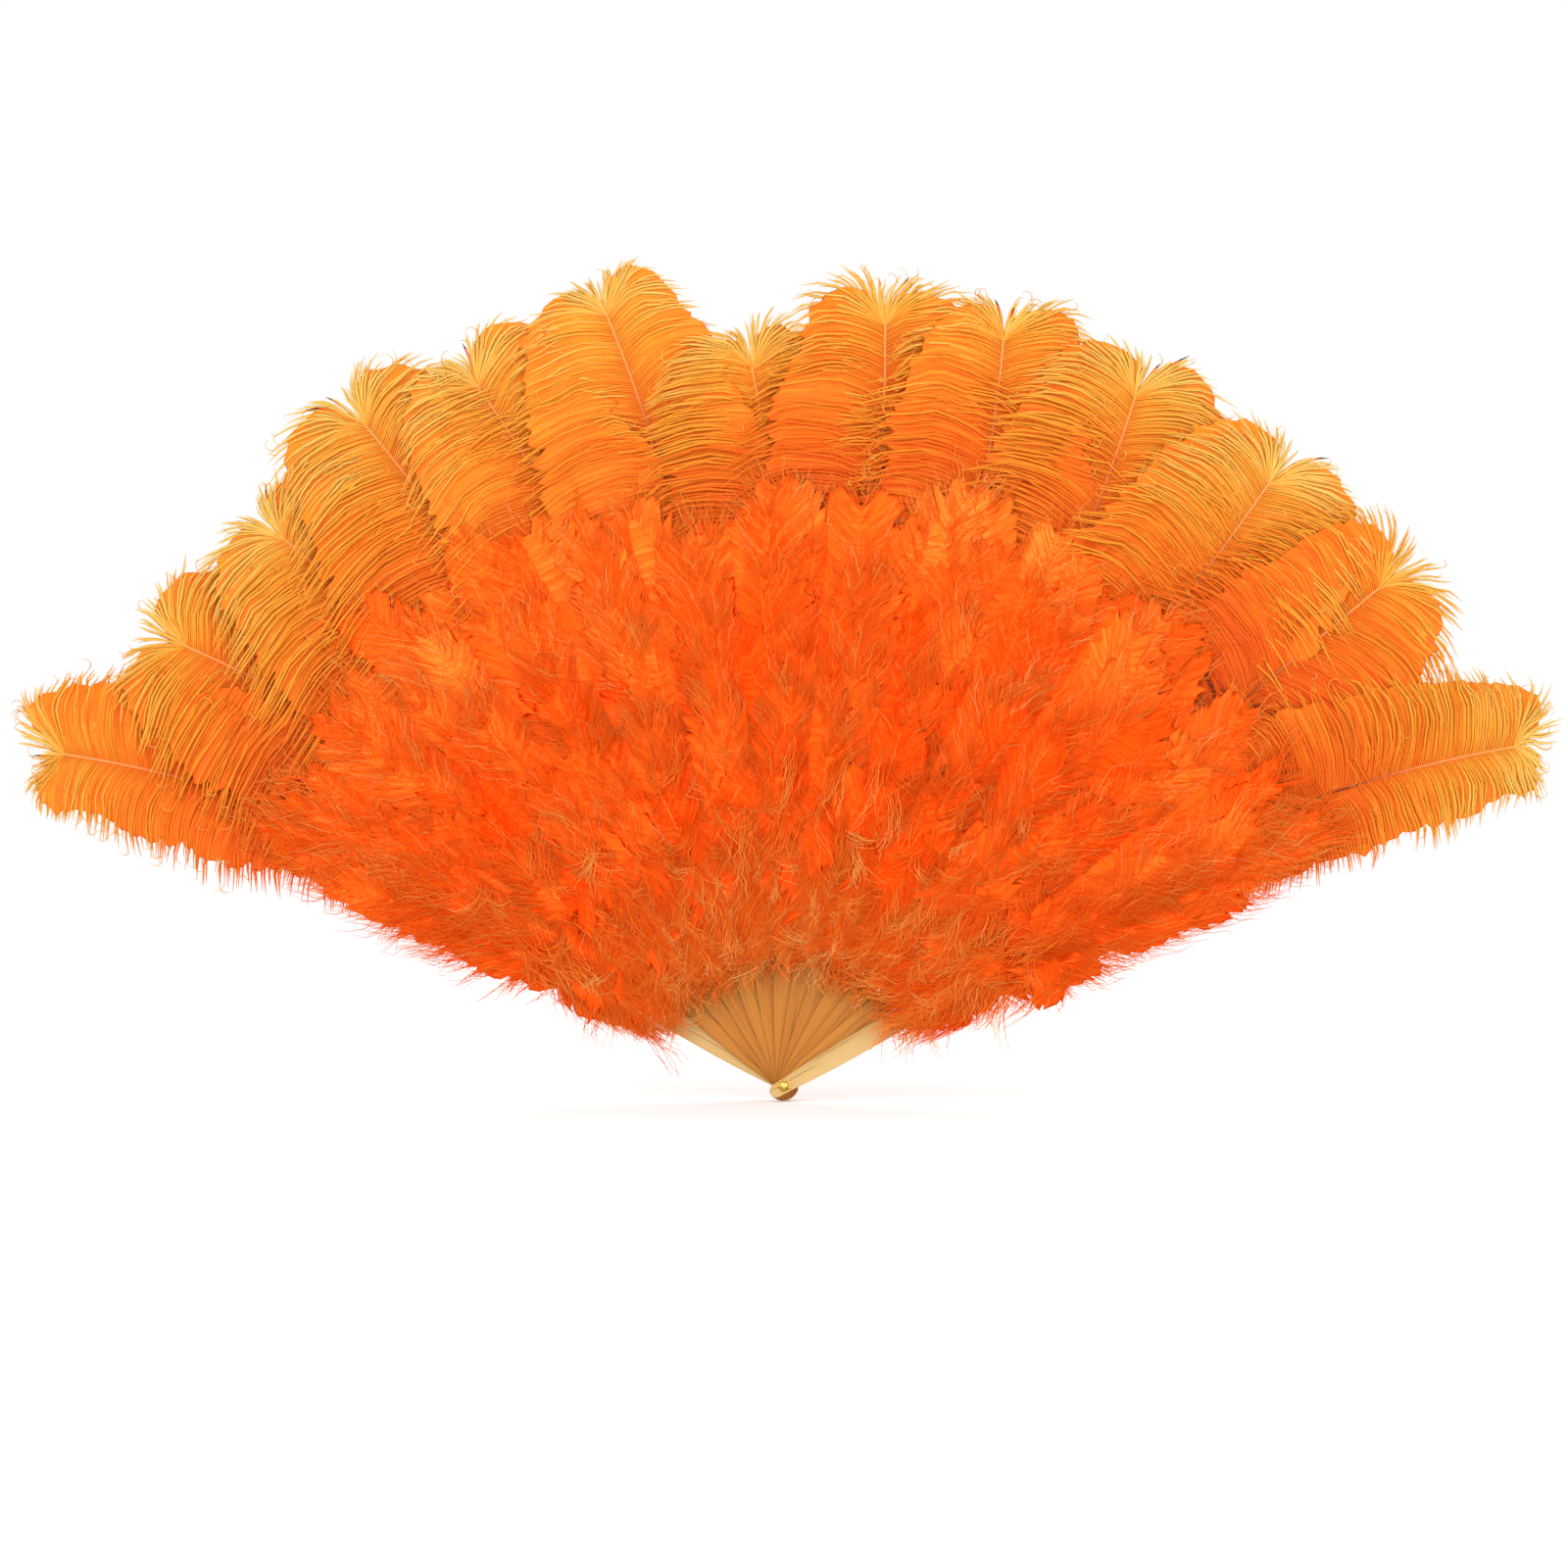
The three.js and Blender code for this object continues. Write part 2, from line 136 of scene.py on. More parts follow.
class NodeBench:
    """Adds nodes to one tree and joins them up."""

    def __init__(self, tree: bpy.types.NodeTree) -> None:
        """Takes the tree to work on."""
        self.tree = tree
        self.group_input: Optional[bpy.types.Node] = None

    @staticmethod
    def pick(sockets: Sequence[bpy.types.NodeSocket], key: Union[str, int]) -> bpy.types.NodeSocket:
        """Finds a socket.

        Args:
            sockets: a node's inputs or outputs.
            key: the socket's place in the row, or its name, of which the first in use is taken.

        Returns:
            The socket.
        """
        if isinstance(key, int):
            return sockets[key]
        return next(socket for socket in sockets if socket.name == key and socket.enabled)

    def feed(self, socket: bpy.types.NodeSocket, value: object) -> None:
        """Links a field to the socket, or writes a plain value on it.

        Args:
            socket: the socket.
            value: a field, or a value of the socket's own type.
        """
        if isinstance(value, Field):
            self.tree.links.new(value.socket, socket)
        else:
            socket.default_value = value

    def feed_all(self, node: bpy.types.Node, inputs: dict) -> None:
        """Links or writes several of a node's inputs, by name or place."""
        for key, value in inputs.items():
            self.feed(self.pick(node.inputs, key), value)

    def add(self, kind: str, settings: Optional[dict] = None, inputs: Optional[dict] = None) -> bpy.types.Node:
        """Adds one node.

        Args:
            kind: the node's type.
            settings: the node's own settings.
            inputs: values for its inputs, by name or place.

        Returns:
            The node.
        """
        node = self.tree.nodes.new(kind)
        for name, setting in (settings or {}).items():
            setattr(node, name, setting)
        self.feed_all(node, inputs or {})
        return node

    def value(
        self,
        kind: str,
        settings: Optional[dict] = None,
        inputs: Optional[dict] = None,
        output: Union[str, int, None] = None,
    ) -> Field:
        """Adds one node and gives one of its outputs, the first in use if none is named."""
        return self.out(self.add(kind, settings, inputs), output)

    def out(self, node: bpy.types.Node, output: Union[str, int, None] = None) -> Field:
        """Gives one of a node's outputs as a field, the first in use if none is named."""
        first = next(socket for socket in node.outputs if socket.enabled)
        return Field(self, first if output is None else self.pick(node.outputs, output))

    def math(self, operation: str, first: Value, second: Value = 0.0, third: Value = 0.0) -> Field:
        """Adds a math node for numbers, or a vector math node where either value is a vector.

        Args:
            operation: the node's operation.
            first: the first value.
            second: the second value.
            third: the third value, for numbers alone.

        Returns:
            The result.
        """
        vectors = [isinstance(v, Field) and v.is_vector for v in (first, second)]
        if not any(vectors):
            return self.value("ShaderNodeMath", {"operation": operation}, {0: first, 1: second, 2: third})
        if all(vectors):
            return self.value("ShaderNodeVectorMath", {"operation": operation}, {0: first, 1: second})
        if not vectors[0]:
            first, second = second, first
        scale = self.math("DIVIDE", 1.0, second) if operation == "DIVIDE" else second
        return self.value("ShaderNodeVectorMath", {"operation": "SCALE"}, {0: first, "Scale": scale})

    def call(self, operation: str, first: Field, second: Optional[Field] = None) -> Field:
        """Adds a vector math node such as CROSS_PRODUCT, NORMALIZE or DOT_PRODUCT."""
        inputs = {0: first} if second is None else {0: first, 1: second}
        return self.value("ShaderNodeVectorMath", {"operation": operation}, inputs)

    def vector(self, x: Value, y: Value, z: Value) -> Field:
        """Makes a vector of three numbers."""
        return self.value("ShaderNodeCombineXYZ", None, {"X": x, "Y": y, "Z": z})

    def split(self, vector: Field) -> tuple[Field, Field, Field]:
        """Takes a vector apart into its three numbers."""
        node = self.add("ShaderNodeSeparateXYZ", None, {0: vector})
        return self.out(node, "X"), self.out(node, "Y"), self.out(node, "Z")

    def between(self, low: Value, high: Value, share: Value) -> Field:
        """Goes from low to high as share goes from 0 to 1, and no further."""
        return self.value("ShaderNodeMapRange", {"clamp": True}, {"Value": share, "To Min": low, "To Max": high})

    def steps_down(self, share: Value, size: Value) -> Field:
        """Gives how many whole times size goes into share."""
        return self.math("FLOOR", self.math("DIVIDE", share, size))

    def remainder(self, share: Value, size: Value) -> Field:
        """Gives what is left of share after whole steps of size."""
        return self.math("SUBTRACT", share, self.math("MULTIPLY", self.steps_down(share, size), size))

    def profile(self, share: Field, points: Knots) -> Field:
        """Reads a curve.

        Args:
            share: the place on the curve.
            points: each a place from 0 to 1 and the value there.

        Returns:
            The value.
        """
        node = self.add("ShaderNodeFloatCurve", None, {"Value": share})
        curve = node.mapping.curves[0]
        for number, (place, level) in enumerate(points):
            point = curve.points[number] if number < 2 else curve.points.new(place, level)
            point.location = (place, level)
            point.handle_type = "AUTO_CLAMPED"
        node.mapping.update()
        return self.out(node)

    def ramp(self, share: Field, stops: Stops) -> Field:
        """Reads a colour ramp.

        Args:
            share: the place on the ramp.
            stops: each a place from 0 to 1 and a colour as six hex digits.

        Returns:
            The colour.
        """
        node = self.add("ShaderNodeValToRGB", None, {0: share})
        elements = node.color_ramp.elements
        for number, (place, colour) in enumerate(stops):
            element = elements[number] if number < 2 else elements.new(place)
            element.position = place
            element.color = dye(colour)
        return self.out(node, "Color")

    def blend(self, share: Value, first: object, second: object) -> Field:
        """Mixes two colours."""
        inputs = {"Factor": share, "A": first, "B": second}
        return self.value("ShaderNodeMix", {"data_type": "RGBA"}, inputs, "Result")

    def noise(self, place: Field, detail: float, scale: float = 1.0, dimensions: str = "3D") -> Field:
        """Reads a noise texture.

        Args:
            place: where to read it.
            detail: how many finer layers it has.
            scale: its number of waves in a unit of place.
            dimensions: 2D or 3D.

        Returns:
            A value about 0.5.
        """
        inputs = {"Vector": place, "Scale": scale, "Detail": detail}
        return self.value("ShaderNodeTexNoise", {"noise_dimensions": dimensions}, inputs, "Fac")

    def bump(self, height: Value, strength: float, distance: float, normal: Optional[Field] = None) -> Field:
        """Turns a height into a normal.

        Args:
            height: the height.
            strength: how much of it shows.
            distance: the length that a height of 1 stands for.
            normal: the normal to start from, where it isn't the surface's own.

        Returns:
            The normal.
        """
        inputs = {"Strength": strength, "Distance": distance, "Height": height}
        if normal is not None:
            inputs["Normal"] = normal
        return self.value("ShaderNodeBump", None, inputs)

    def new_input(self, name: str, kind: str, default: object = None) -> Field:
        """Adds an input to the group being built.

        Args:
            name: the input's name.
            kind: the type of its socket.
            default: its value where none is given.

        Returns:
            The input.
        """
        socket = self.tree.interface.new_socket(name, in_out="INPUT", socket_type=kind)
        if default is not None:
            socket.default_value = default
        if self.group_input is None:
            self.group_input = self.tree.nodes.new("NodeGroupInput")
        return Field(self, self.group_input.outputs[name])

    def new_outputs(self, results: dict[str, tuple[str, Field]]) -> None:
        """Adds the group's outputs.

        Args:
            results: for each name, a socket type and the field that feeds it.
        """
        for name, (kind, _) in results.items():
            self.tree.interface.new_socket(name, in_out="OUTPUT", socket_type=kind)
        node = self.tree.nodes.new("NodeGroupOutput")
        for name, (_, result) in results.items():
            self.tree.links.new(result.socket, node.inputs[name])


def dye(colour: str) -> Colour:
    """Turns a colour of six hex digits, as seen on a screen, into the linear colour that a shader takes.

    Args:
        colour: the digits.

    Returns:
        The colour.
    """
    channels = [int(colour[i : i + 2], 16) / 255 for i in (0, 2, 4)]
    linear = [c / 12.92 if c <= 0.04045 else ((c + 0.055) / 1.055) ** 2.4 for c in channels]
    return (*linear, 1.0)


# The layout


@dataclass(frozen=True)
class FanLayout:
    """Where every leaf of the open fan lies."""

    leaf_count: int = 13
    open_spread: float = math.radians(120)
    stick_thickness: float = 1.6 * MM
    guard_thickness: float = 3.0 * MM
    running_gap: float = 0.4 * MM
    seat_gap: float = 0.3 * MM
    plume_reach: float = 420 * MM
    bend_start: float = 215 * MM
    tip_curl: float = 18 * MM

    @property
    def spacing(self) -> float:
        """The angle from one leaf to the next."""
        return self.open_spread / (self.leaf_count - 1)

    @property
    def middle(self) -> int:
        """The number of the upright leaf, counted from 0 at the left guard."""
        return self.leaf_count // 2

    @property
    def stack_depth(self) -> float:
        """The thickness of all the sticks with the gaps between them."""
        inner = (self.leaf_count - 2) * self.stick_thickness
        return inner + 2 * self.guard_thickness + (self.leaf_count - 1) * self.running_gap

    def back(self, leaf: int) -> float:
        """Finds the back of a leaf's stick.

        Args:
            leaf: the leaf's number.

        Returns:
            Its y, which is smaller nearer to the front.
        """
        if leaf == 0:
            return self.stack_depth / 2
        pitch = self.stick_thickness + self.running_gap
        return self.stack_depth / 2 - self.guard_thickness - self.running_gap - (leaf - 1) * pitch

    def front(self, leaf: int) -> float:
        """The y of the front of a leaf's stick."""
        return self.back(leaf) - (self.guard_thickness if self.is_guard(leaf) else self.stick_thickness)

    def is_guard(self, leaf: int) -> bool:
        """Whether the leaf is the first or the last."""
        return leaf in (0, self.leaf_count - 1)

    def turn(self, leaf: int) -> float:
        """The leaf's turn about the rivet, from upright to where it stands in the open fan."""
        return leaf * self.spacing - self.open_spread / 2

    def placing(self, leaf: int) -> Matrix:
        """The matrix that turns an upright leaf's pieces into place."""
        return Matrix.Rotation(self.turn(leaf), 4, "Y")

    def label(self, leaf: int) -> str:
        """The leaf's number as its nodes' names have it."""
        return f"{leaf + 1:02d}"

    def stick_node(self, leaf: int) -> str:
        """The name of the leaf's stick."""
        ends = {0: "guard_stick_left", self.leaf_count - 1: "guard_stick_right"}
        return ends.get(leaf, f"stick_{self.label(leaf)}")

    def body(self, leaf: int) -> str:
        """The name of the body that carries the leaf."""
        special = {0: "left_guard_leaf", self.leaf_count - 1: "right_guard_leaf", self.middle: "centre_leaf"}
        return special.get(leaf, f"leaf_{self.label(leaf)}")

    def joint(self, leaf: int) -> str:
        """The name of the joint that folds the leaf. The upright leaf stands still, so it takes the main one."""
        special = {0: "left_guard_fold", self.leaf_count - 1: "right_guard_fold", self.middle: "right_guard_fold"}
        return special.get(leaf, f"leaf_{self.label(leaf)}_fold")


LAYOUT = FanLayout()


# Growing feathers


@dataclass(frozen=True)
class BarbSizes:
    """How barbs grow from a feather's shaft, as the node tree's named inputs. The defaults are an ostrich plume's."""

    shaft_count: int = 1
    hooks: int = 0
    locks: int = 0
    backing_strands: int = 0
    barbs_per_side: int = 176
    filaments_per_barb: int = 3
    vane_start: float = 0.3
    vane_end: float = 0.9
    fan_share: float = 0.14
    length_at_base: float = 48 * MM
    length_at_tip: float = 52 * MM
    length_swell: float = 24 * MM
    fan_length_share: float = 0.42
    length_jitter: float = 0.12
    left_share: float = 1.0
    right_share: float = 1.0
    angle_at_base: float = math.radians(64)
    angle_at_tip: float = math.radians(60)
    angle_jitter: float = math.radians(1.6)
    bend: float = math.radians(44)
    fan_bend: float = math.radians(4)
    roundness: float = math.radians(3)
    filament_share: float = 0.5
    filament_radius: float = 0.16 * MM
    scatter: float = 1.6 * MM
    scatter_depth_share: float = 0.35
    lift: float = 2.5 * MM
    base_lift_share: float = 0.15
    right_lift_share: float = 0.5
    layer_step: float = 0.2 * MM
    curl: float = 9 * MM
    droop: float = 0.12
    sway: float = 4 * MM
    sway_size: float = 34 * MM
    wave: float = 0.0
    web_share: float = 0.86
    body_half_width: float = 0.6 * MM
    body_flatness: float = 0.3
    shaft_radius: float = 1.1 * MM
    shaft_tip_radius: float = 0.5 * MM
    layer_front: float = 0.0
    left_limit: float = 200 * MM
    right_limit: float = 200 * MM


@dataclass(frozen=True)
class Strand:
    """Which strand of a feather a point belongs to, and where on it the point lies."""

    identity: Value
    barb: Value
    shaft: Value
    side: Field
    row: Field
    ring: Value
    along: Field
    stray: Value = 0.0
    sink: Value = 0.0
    held_back: Value = 0.0


class Draw(IntEnum):
    """What a random number decides. Each has its own number, which is added to the piece's seed."""

    ROW = 1
    START = 2
    ANGLE = 3
    BEND = 4
    LENGTH = 5
    ASIDE = 6
    CURL = 7
    DEPTH = 8
    LAYER = 9
    AROUND = 10
    WAVE = 11
    BARB_TONE = 20
    STRAND_TONE = 21
    ODD_STRAND = 22
    FEATHER_TONE = 23
    WEB_TONE = 24
    CROWN = 30
    WIDTH = 31
    HEM = 32
    HOOK_BARB = 40
    HOOK_ROOT = 41
    HOOK_SIDE = 42
    HOOK_SIZE = 43
    HOOK_ANGLE = 44
    HOOK_TONE = 45
    LOCK_ROOT = 50
    LOCK_TURN = 51
    LOCK_HEADING = 52
    LOCK_LENGTH = 53
    LOCK_ASIDE = 54
    LOCK_BOW = 55
    LOCK_STRAND_BOW = 56
    LOCK_STRAND_LENGTH = 57
    LOCK_DEPTH = 58
    LOCK_CROWN = 59
    LOCK_WAVE = 60
    LOCK_TONE = 61
    LOCK_STRAND_TONE = 62
    BACKING_ROOT = 70
    BACKING_TURN = 71
    BACKING_LEAN = 72
    BACKING_BOW = 73
    BACKING_LENGTH = 74
    BACKING_DEPTH = 75
    BACKING_TONE = 76


def socket_name(name: str) -> str:
    """A dataclass field's name, as the node tree's inputs have it."""
    return name.replace("_", " ").title()


class BarbTree:
    """Geometry nodes that grow barbs from one or more shafts.

    Each barb is dressed in fine filaments. A filament starts somewhere along its barb and strays from it towards
    its end, as barbules do. The kinds of feather differ in what lies under the filaments, in how their barbs stand
    round the shaft and settle on the fan, and in their tones.
    """

    rings: int = 5
    barb_rings: int = 7
    barb_sides: int = 4
    barb_taper: Knots = ((0, 0.7), (0.15, 0.95), (0.6, 1), (0.88, 0.75), (1, 0.15))
    row_places: Pair = (0.35, 0.65)
    filament_sides: int = 3
    filament_flatness: float = 1.0
    filament_end_share: float = 0.3
    stray_at_root: float = 0.2
    shaft_sides: int = 6
    fan_closing: float = 0.92
    fan_jitter: float = 3.0
    wave_angle: float = 14.0
    lift_angle: float = 2.2
    curl_shares: Pair = (0.4, 1.0)
    sway_shift: Pair = (7.31, 3.77)
    sway_gain: float = 4.0
    web_rows: int = 64
    web_sides: int = 28
    web_teeth: float = 40.0
    web_tooth_shifts: Pair = (9.0, 17.0)
    web_outline: Knots = ((0, 0.02), (0.04, 0.8), (0.1, 1), (0.86, 1), (0.95, 0.8), (1, 0.02))
    web_setback: float = 0.7 * MM
    web_half_thickness: float = 0.12 * MM
    web_rag: float = 0.3
    web_sink: float = 0.0
    web_held_back: float = 0.0
    hook_rings: int = 7
    hook_barbs: Pair = (0.35, 0.999)
    hook_roots: Pair = (0.8, 1.0)
    hook_aim: float = 0.06
    hook_angles: Pair = (math.radians(70), math.radians(210))
    hook_sizes: Pair = (1.2 * MM, 4.0 * MM)
    hook_lift: float = 2.0 * MM
    hook_thickness: float = 0.32 * MM
    hook_end_share: float = 0.4
    hook_tones: Pair = (0.7, 1.0)

    def __init__(self, name: str) -> None:
        """Builds the tree.

        Args:
            name: the tree's name.
        """
        self.bench = NodeBench(bpy.data.node_groups.new(name, "GeometryNodeTree"))
        bench = self.bench
        self.shafts = bench.new_input("Shafts", "NodeSocketGeometry")
        self.size = {
            item.name: bench.new_input(socket_name(item.name), SOCKET_KINDS[item.type]) for item in fields(BarbSizes)
        }
        self.down = bench.new_input("Down", "NodeSocketVector")
        self.seed = bench.new_input("Seed", "NodeSocketInt")
        self.material = bench.new_input("Material", "NodeSocketMaterial")
        self.index = bench.value("GeometryNodeInputIndex")
        self.lines = bench.value("GeometryNodeMeshToCurve", None, {"Mesh": self.shafts})
        parts = bench.add("GeometryNodeJoinGeometry")
        for part in self.layers():
            bench.tree.links.new(part.socket, parts.inputs[0])
        smooth = bench.value("GeometryNodeSetShadeSmooth", None, {"Geometry": bench.out(parts)})
        real = bench.value("GeometryNodeRealizeInstances", None, {"Geometry": smooth})
        dressed = bench.value("GeometryNodeSetMaterial", None, {"Geometry": real, "Material": self.material})
        bench.new_outputs({"Feather": ("NodeSocketGeometry", dressed)})

    def layers(self) -> list[Field]:
        """What the feather is made of."""
        return [self.filaments(), self.flat_barbs(), self.tubes(), self.webs(), self.hooks()]

    def random(self, low: Value, high: Value, identity: Value, draw: Draw) -> Field:
        """A random number between low and high for each identity, fixed by the seed and by what it decides."""
        inputs = {"Min": low, "Max": high, "ID": identity, "Seed": self.seed + draw.value}
        return self.bench.value("FunctionNodeRandomValue", {"data_type": "FLOAT"}, inputs)

    def either_way(self, identity: Value, draw: Draw) -> Field:
        """A random number between -1 and 1 for each identity."""
        return self.random(-1, 1, identity, draw)

    def counted(self, rings: int) -> tuple[Field, Field]:
        """Shares the points out among strands.

        Args:
            rings: how many points a strand has.

        Returns:
            The number of each point's strand, and the point's place in it from 0 to 1.
        """
        bench = self.bench
        return bench.steps_down(self.index, rings), bench.remainder(self.index, rings) / (rings - 1)

    def joined(self, count: Value, place: Field, identity: Value, ring: Value) -> Field:
        """Lays out points and joins those of each strand into one curve.

        Args:
            count: how many points there are in all.
            place: where each point lies.
            identity: the number of its strand.
            ring: its place in the strand.

        Returns:
            The curves.
        """
        bench = self.bench
        points = bench.value("GeometryNodePoints", None, {"Count": count})
        points = bench.value("GeometryNodeSetPosition", None, {"Geometry": points, "Position": place})
        inputs = {"Points": points, "Curve Group ID": identity, "Weight": ring}
        return bench.value("GeometryNodePointsToCurves", None, inputs)

    def strand(self, identity: Field, barb: Field, ring: Field, along: Field, stray: Value = 0.0) -> Strand:
        """Finds the shaft, the side and the row of a barb, and notes them with the rest.

        Args:
            identity: the number of the strand.
            barb: the number of the barb that it lies on.
            ring: the point's place in the strand.
            along: the point's place along the barb.
            stray: how far the strand may stray from the barb.

        Returns:
            The strand.
        """
        bench, per_side = self.bench, self.size["barbs_per_side"]
        order = bench.steps_down(bench.remainder(barb, per_side * 2), 2)
        row = (order + self.random(*self.row_places, barb, Draw.ROW)) / per_side
        side = bench.remainder(barb, 2) * 2 - 1
        return Strand(identity, barb, bench.steps_down(barb, per_side * 2), side, row, ring, along, stray)

    def string(self, strand: Strand, count: Value) -> Field:
        """Strings a number of points along the courses of their strands."""
        return self.joined(count, self.course(strand), strand.identity, strand.ring)

    def filaments(self) -> Field:
        """Grows the filaments of all the barbs.

        Returns:
            Their mesh.
        """
        bench, size = self.bench, self.size
        per_barb = size["filaments_per_barb"]
        identity, ring = self.counted(self.rings)
        order = bench.remainder(identity, per_barb)
        late = (order + self.random(0, 1, identity, Draw.START)) / per_barb
        along = late * (1 - size["filament_share"]) + size["filament_share"] * ring
        stray = (ring * (1 - self.stray_at_root) + self.stray_at_root) * size["scatter"]
        strand = self.strand(identity, bench.steps_down(identity, per_barb), ring, along, stray)
        lines = self.string(strand, size["barbs_per_side"] * 2 * per_barb * size["shaft_count"] * self.rings)
        radius = bench.between(1.0, self.filament_end_share, ring**2) * size["filament_radius"]
        return self.strand_skin(lines, radius, along, self.tone(strand))

    def flat_barbs(self) -> Field:
        """Grows the flat barbs themselves, on the same courses as their filaments.

        Returns:
            Their mesh.
        """
        bench, size = self.bench, self.size
        barb, ring = self.counted(self.barb_rings)
        strand = self.strand(barb, barb, ring, ring)
        lines = self.string(strand, size["barbs_per_side"] * 2 * size["shaft_count"] * self.barb_rings)
        width = bench.profile(ring, self.barb_taper) * size["body_half_width"]
        profile = self.profile(self.barb_sides, size["body_flatness"], self.barb_sides % 2 == 0)
        return self.skin(self.facing_front(lines), profile, width, ring, self.tone_row(self.tone(strand)))

    def hooks(self) -> Field:
        """Grows the small hooks in which some barbs end, most of them towards the tip.

        Returns:
            Their mesh.
        """
        bench, size = self.bench, self.size
        hook, ring = self.counted(self.hook_rings)
        barbs = size["barbs_per_side"]
        barb = bench.math("FLOOR", self.random(*self.hook_barbs, hook, Draw.HOOK_BARB) * barbs * 2)
        ends_at = self.random(*self.hook_roots, hook, Draw.HOOK_ROOT)
        start = self.course(self.strand(hook, barb, ring, ends_at - self.hook_aim))
        end = self.course(self.strand(hook, barb, ring, ends_at))
        ahead = bench.call("NORMALIZE", end - start)
        aside = bench.call("NORMALIZE", bench.call("CROSS_PRODUCT", ahead, bench.vector(0.0, -1.0, 0.0)))
        aside = aside * (bench.math("GREATER_THAN", self.either_way(hook, Draw.HOOK_SIDE), 0.0) * 2 - 1)
        radius = self.random(*self.hook_sizes, hook, Draw.HOOK_SIZE)
        angle = ring * self.random(*self.hook_angles, hook, Draw.HOOK_ANGLE)
        bow = ahead * bench.math("SINE", angle) + aside * (1 - bench.math("COSINE", angle))
        place = end + bow * radius + bench.vector(0.0, ring * -self.hook_lift, 0.0)
        lines = self.joined(size["hooks"] * self.hook_rings, place, hook, ring)
        thick = bench.between(1.0, self.hook_end_share, ring) * self.hook_thickness
        tone = self.random(*self.hook_tones, hook, Draw.HOOK_TONE)
        return self.skin(lines, self.profile(self.filament_sides, 1.0, False), thick, ring, self.tone_row(tone))

    def webs(self) -> Field:
        """Makes the thin web behind each shaft's barbs, which their barbules knit, with a ragged edge.

        Returns:
            Their mesh.
        """
        bench = self.bench
        shaft, row = self.counted(self.web_rows)
        count = self.size["shaft_count"] * self.web_rows
        lines = self.joined(count, bench.vector(shaft, 0.0, row), shaft, row)
        lines, row, shaft = self.capture(lines, row, shaft)
        ring = bench.value("GeometryNodeCurvePrimitiveCircle", None, {"Resolution": self.web_sides, "Radius": 1.0})
        angle = self.index * (math.tau / self.web_sides)
        ring, across, front = self.capture(ring, bench.math("COSINE", angle), bench.math("SINE", angle))
        inputs = {"Curve": lines, "Profile Curve": ring, "Scale": 1.0, "Fill Caps": True}
        mesh = bench.value("GeometryNodeCurveToMesh", None, inputs)
        side = bench.math("GREATER_THAN", across, 0.0) * 2 - 1
        side_shift, shaft_shift = self.web_tooth_shifts
        teeth = row * self.web_teeth + side * side_shift + shaft * shaft_shift
        rag = {"W": teeth, "Scale": 1.0, "Detail": 3.0}
        ragged = bench.value("ShaderNodeTexNoise", {"noise_dimensions": "1D"}, rag, "Fac")
        share = bench.profile(row, self.web_outline) * (self.size["web_share"] + (ragged - 0.5) * self.web_rag)
        along = bench.math("ABSOLUTE", across) * share
        sink = across * across * self.web_sink
        place = self.course(Strand(shaft, shaft + 0.5, shaft, side, row, 0, along, 0.0, sink, self.web_held_back))
        place = place + bench.vector(0.0, self.web_setback + front * self.web_half_thickness, 0.0)
        mesh = bench.value("GeometryNodeSetPosition", None, {"Geometry": mesh, "Position": place})
        # The web's tone row. A plume's web is coloured darker than its barbs, which paints the shade seen in the gaps
        # between them.
        shade = self.tone_row(self.body_tone(shaft), BODY_ROW, BODY_TONES)
        return self.mapped(mesh, along, shade + row * ROW_SHARE + ROW_EDGE)

    def tubes(self) -> Field:
        """Gives the shafts their skin, where they lie on the fan.

        Returns:
            Their mesh.
        """
        bench, size = self.bench, self.size
        along = bench.value("GeometryNodeSplineParameter", output="Factor")
        radius = bench.between(size["shaft_radius"], size["shaft_tip_radius"], along)
        settled = {"Geometry": self.lines, "Position": self.settle(bench.value("GeometryNodeInputPosition"), 0)}
        lines = bench.value("GeometryNodeSetPosition", None, settled)
        return self.skin(lines, self.profile(self.shaft_sides, 1.0, True), radius, along, SHAFT_ROW)

    def profile(self, sides: int, flatness: Value, mirrored: bool) -> tuple[Field, Field]:
        """A ring to wrap round a curve.

        Args:
            sides: how many sides it has.
            flatness: its thickness towards the front as a share of its width.
            mirrored: whether its left half is mapped as its right half is.

        Returns:
            The ring, and the place round it from 0 to 1.
        """
        bench = self.bench
        ring = bench.value("GeometryNodeCurvePrimitiveCircle", None, {"Resolution": sides, "Radius": 1.0})
        scale = bench.vector(flatness, 1.0, 1.0)
        ring = bench.value("GeometryNodeTransform", None, {"Geometry": ring, "Scale": scale})
        around = self.index / (sides - 1)
        if mirrored:
            around = 1 - bench.math("ABSOLUTE", self.index * 2 / sides - 1)
        return self.capture(ring, around)

    def strand_skin(self, lines: Field, radius: Field, along: Field, tone: Field) -> Field:
        """Wraps strands that face the front in their skin.

        Args:
            lines: the strands.
            radius: their radius at each point.
            along: the place along the barb, from 0 to 1.
            tone: the strand's tone, from 0 to 1.

        Returns:
            The strands as a mesh.
        """
        profile = self.profile(self.filament_sides, self.filament_flatness, False)
        return self.skin(self.facing_front(lines), profile, radius, along, self.tone_row(tone))

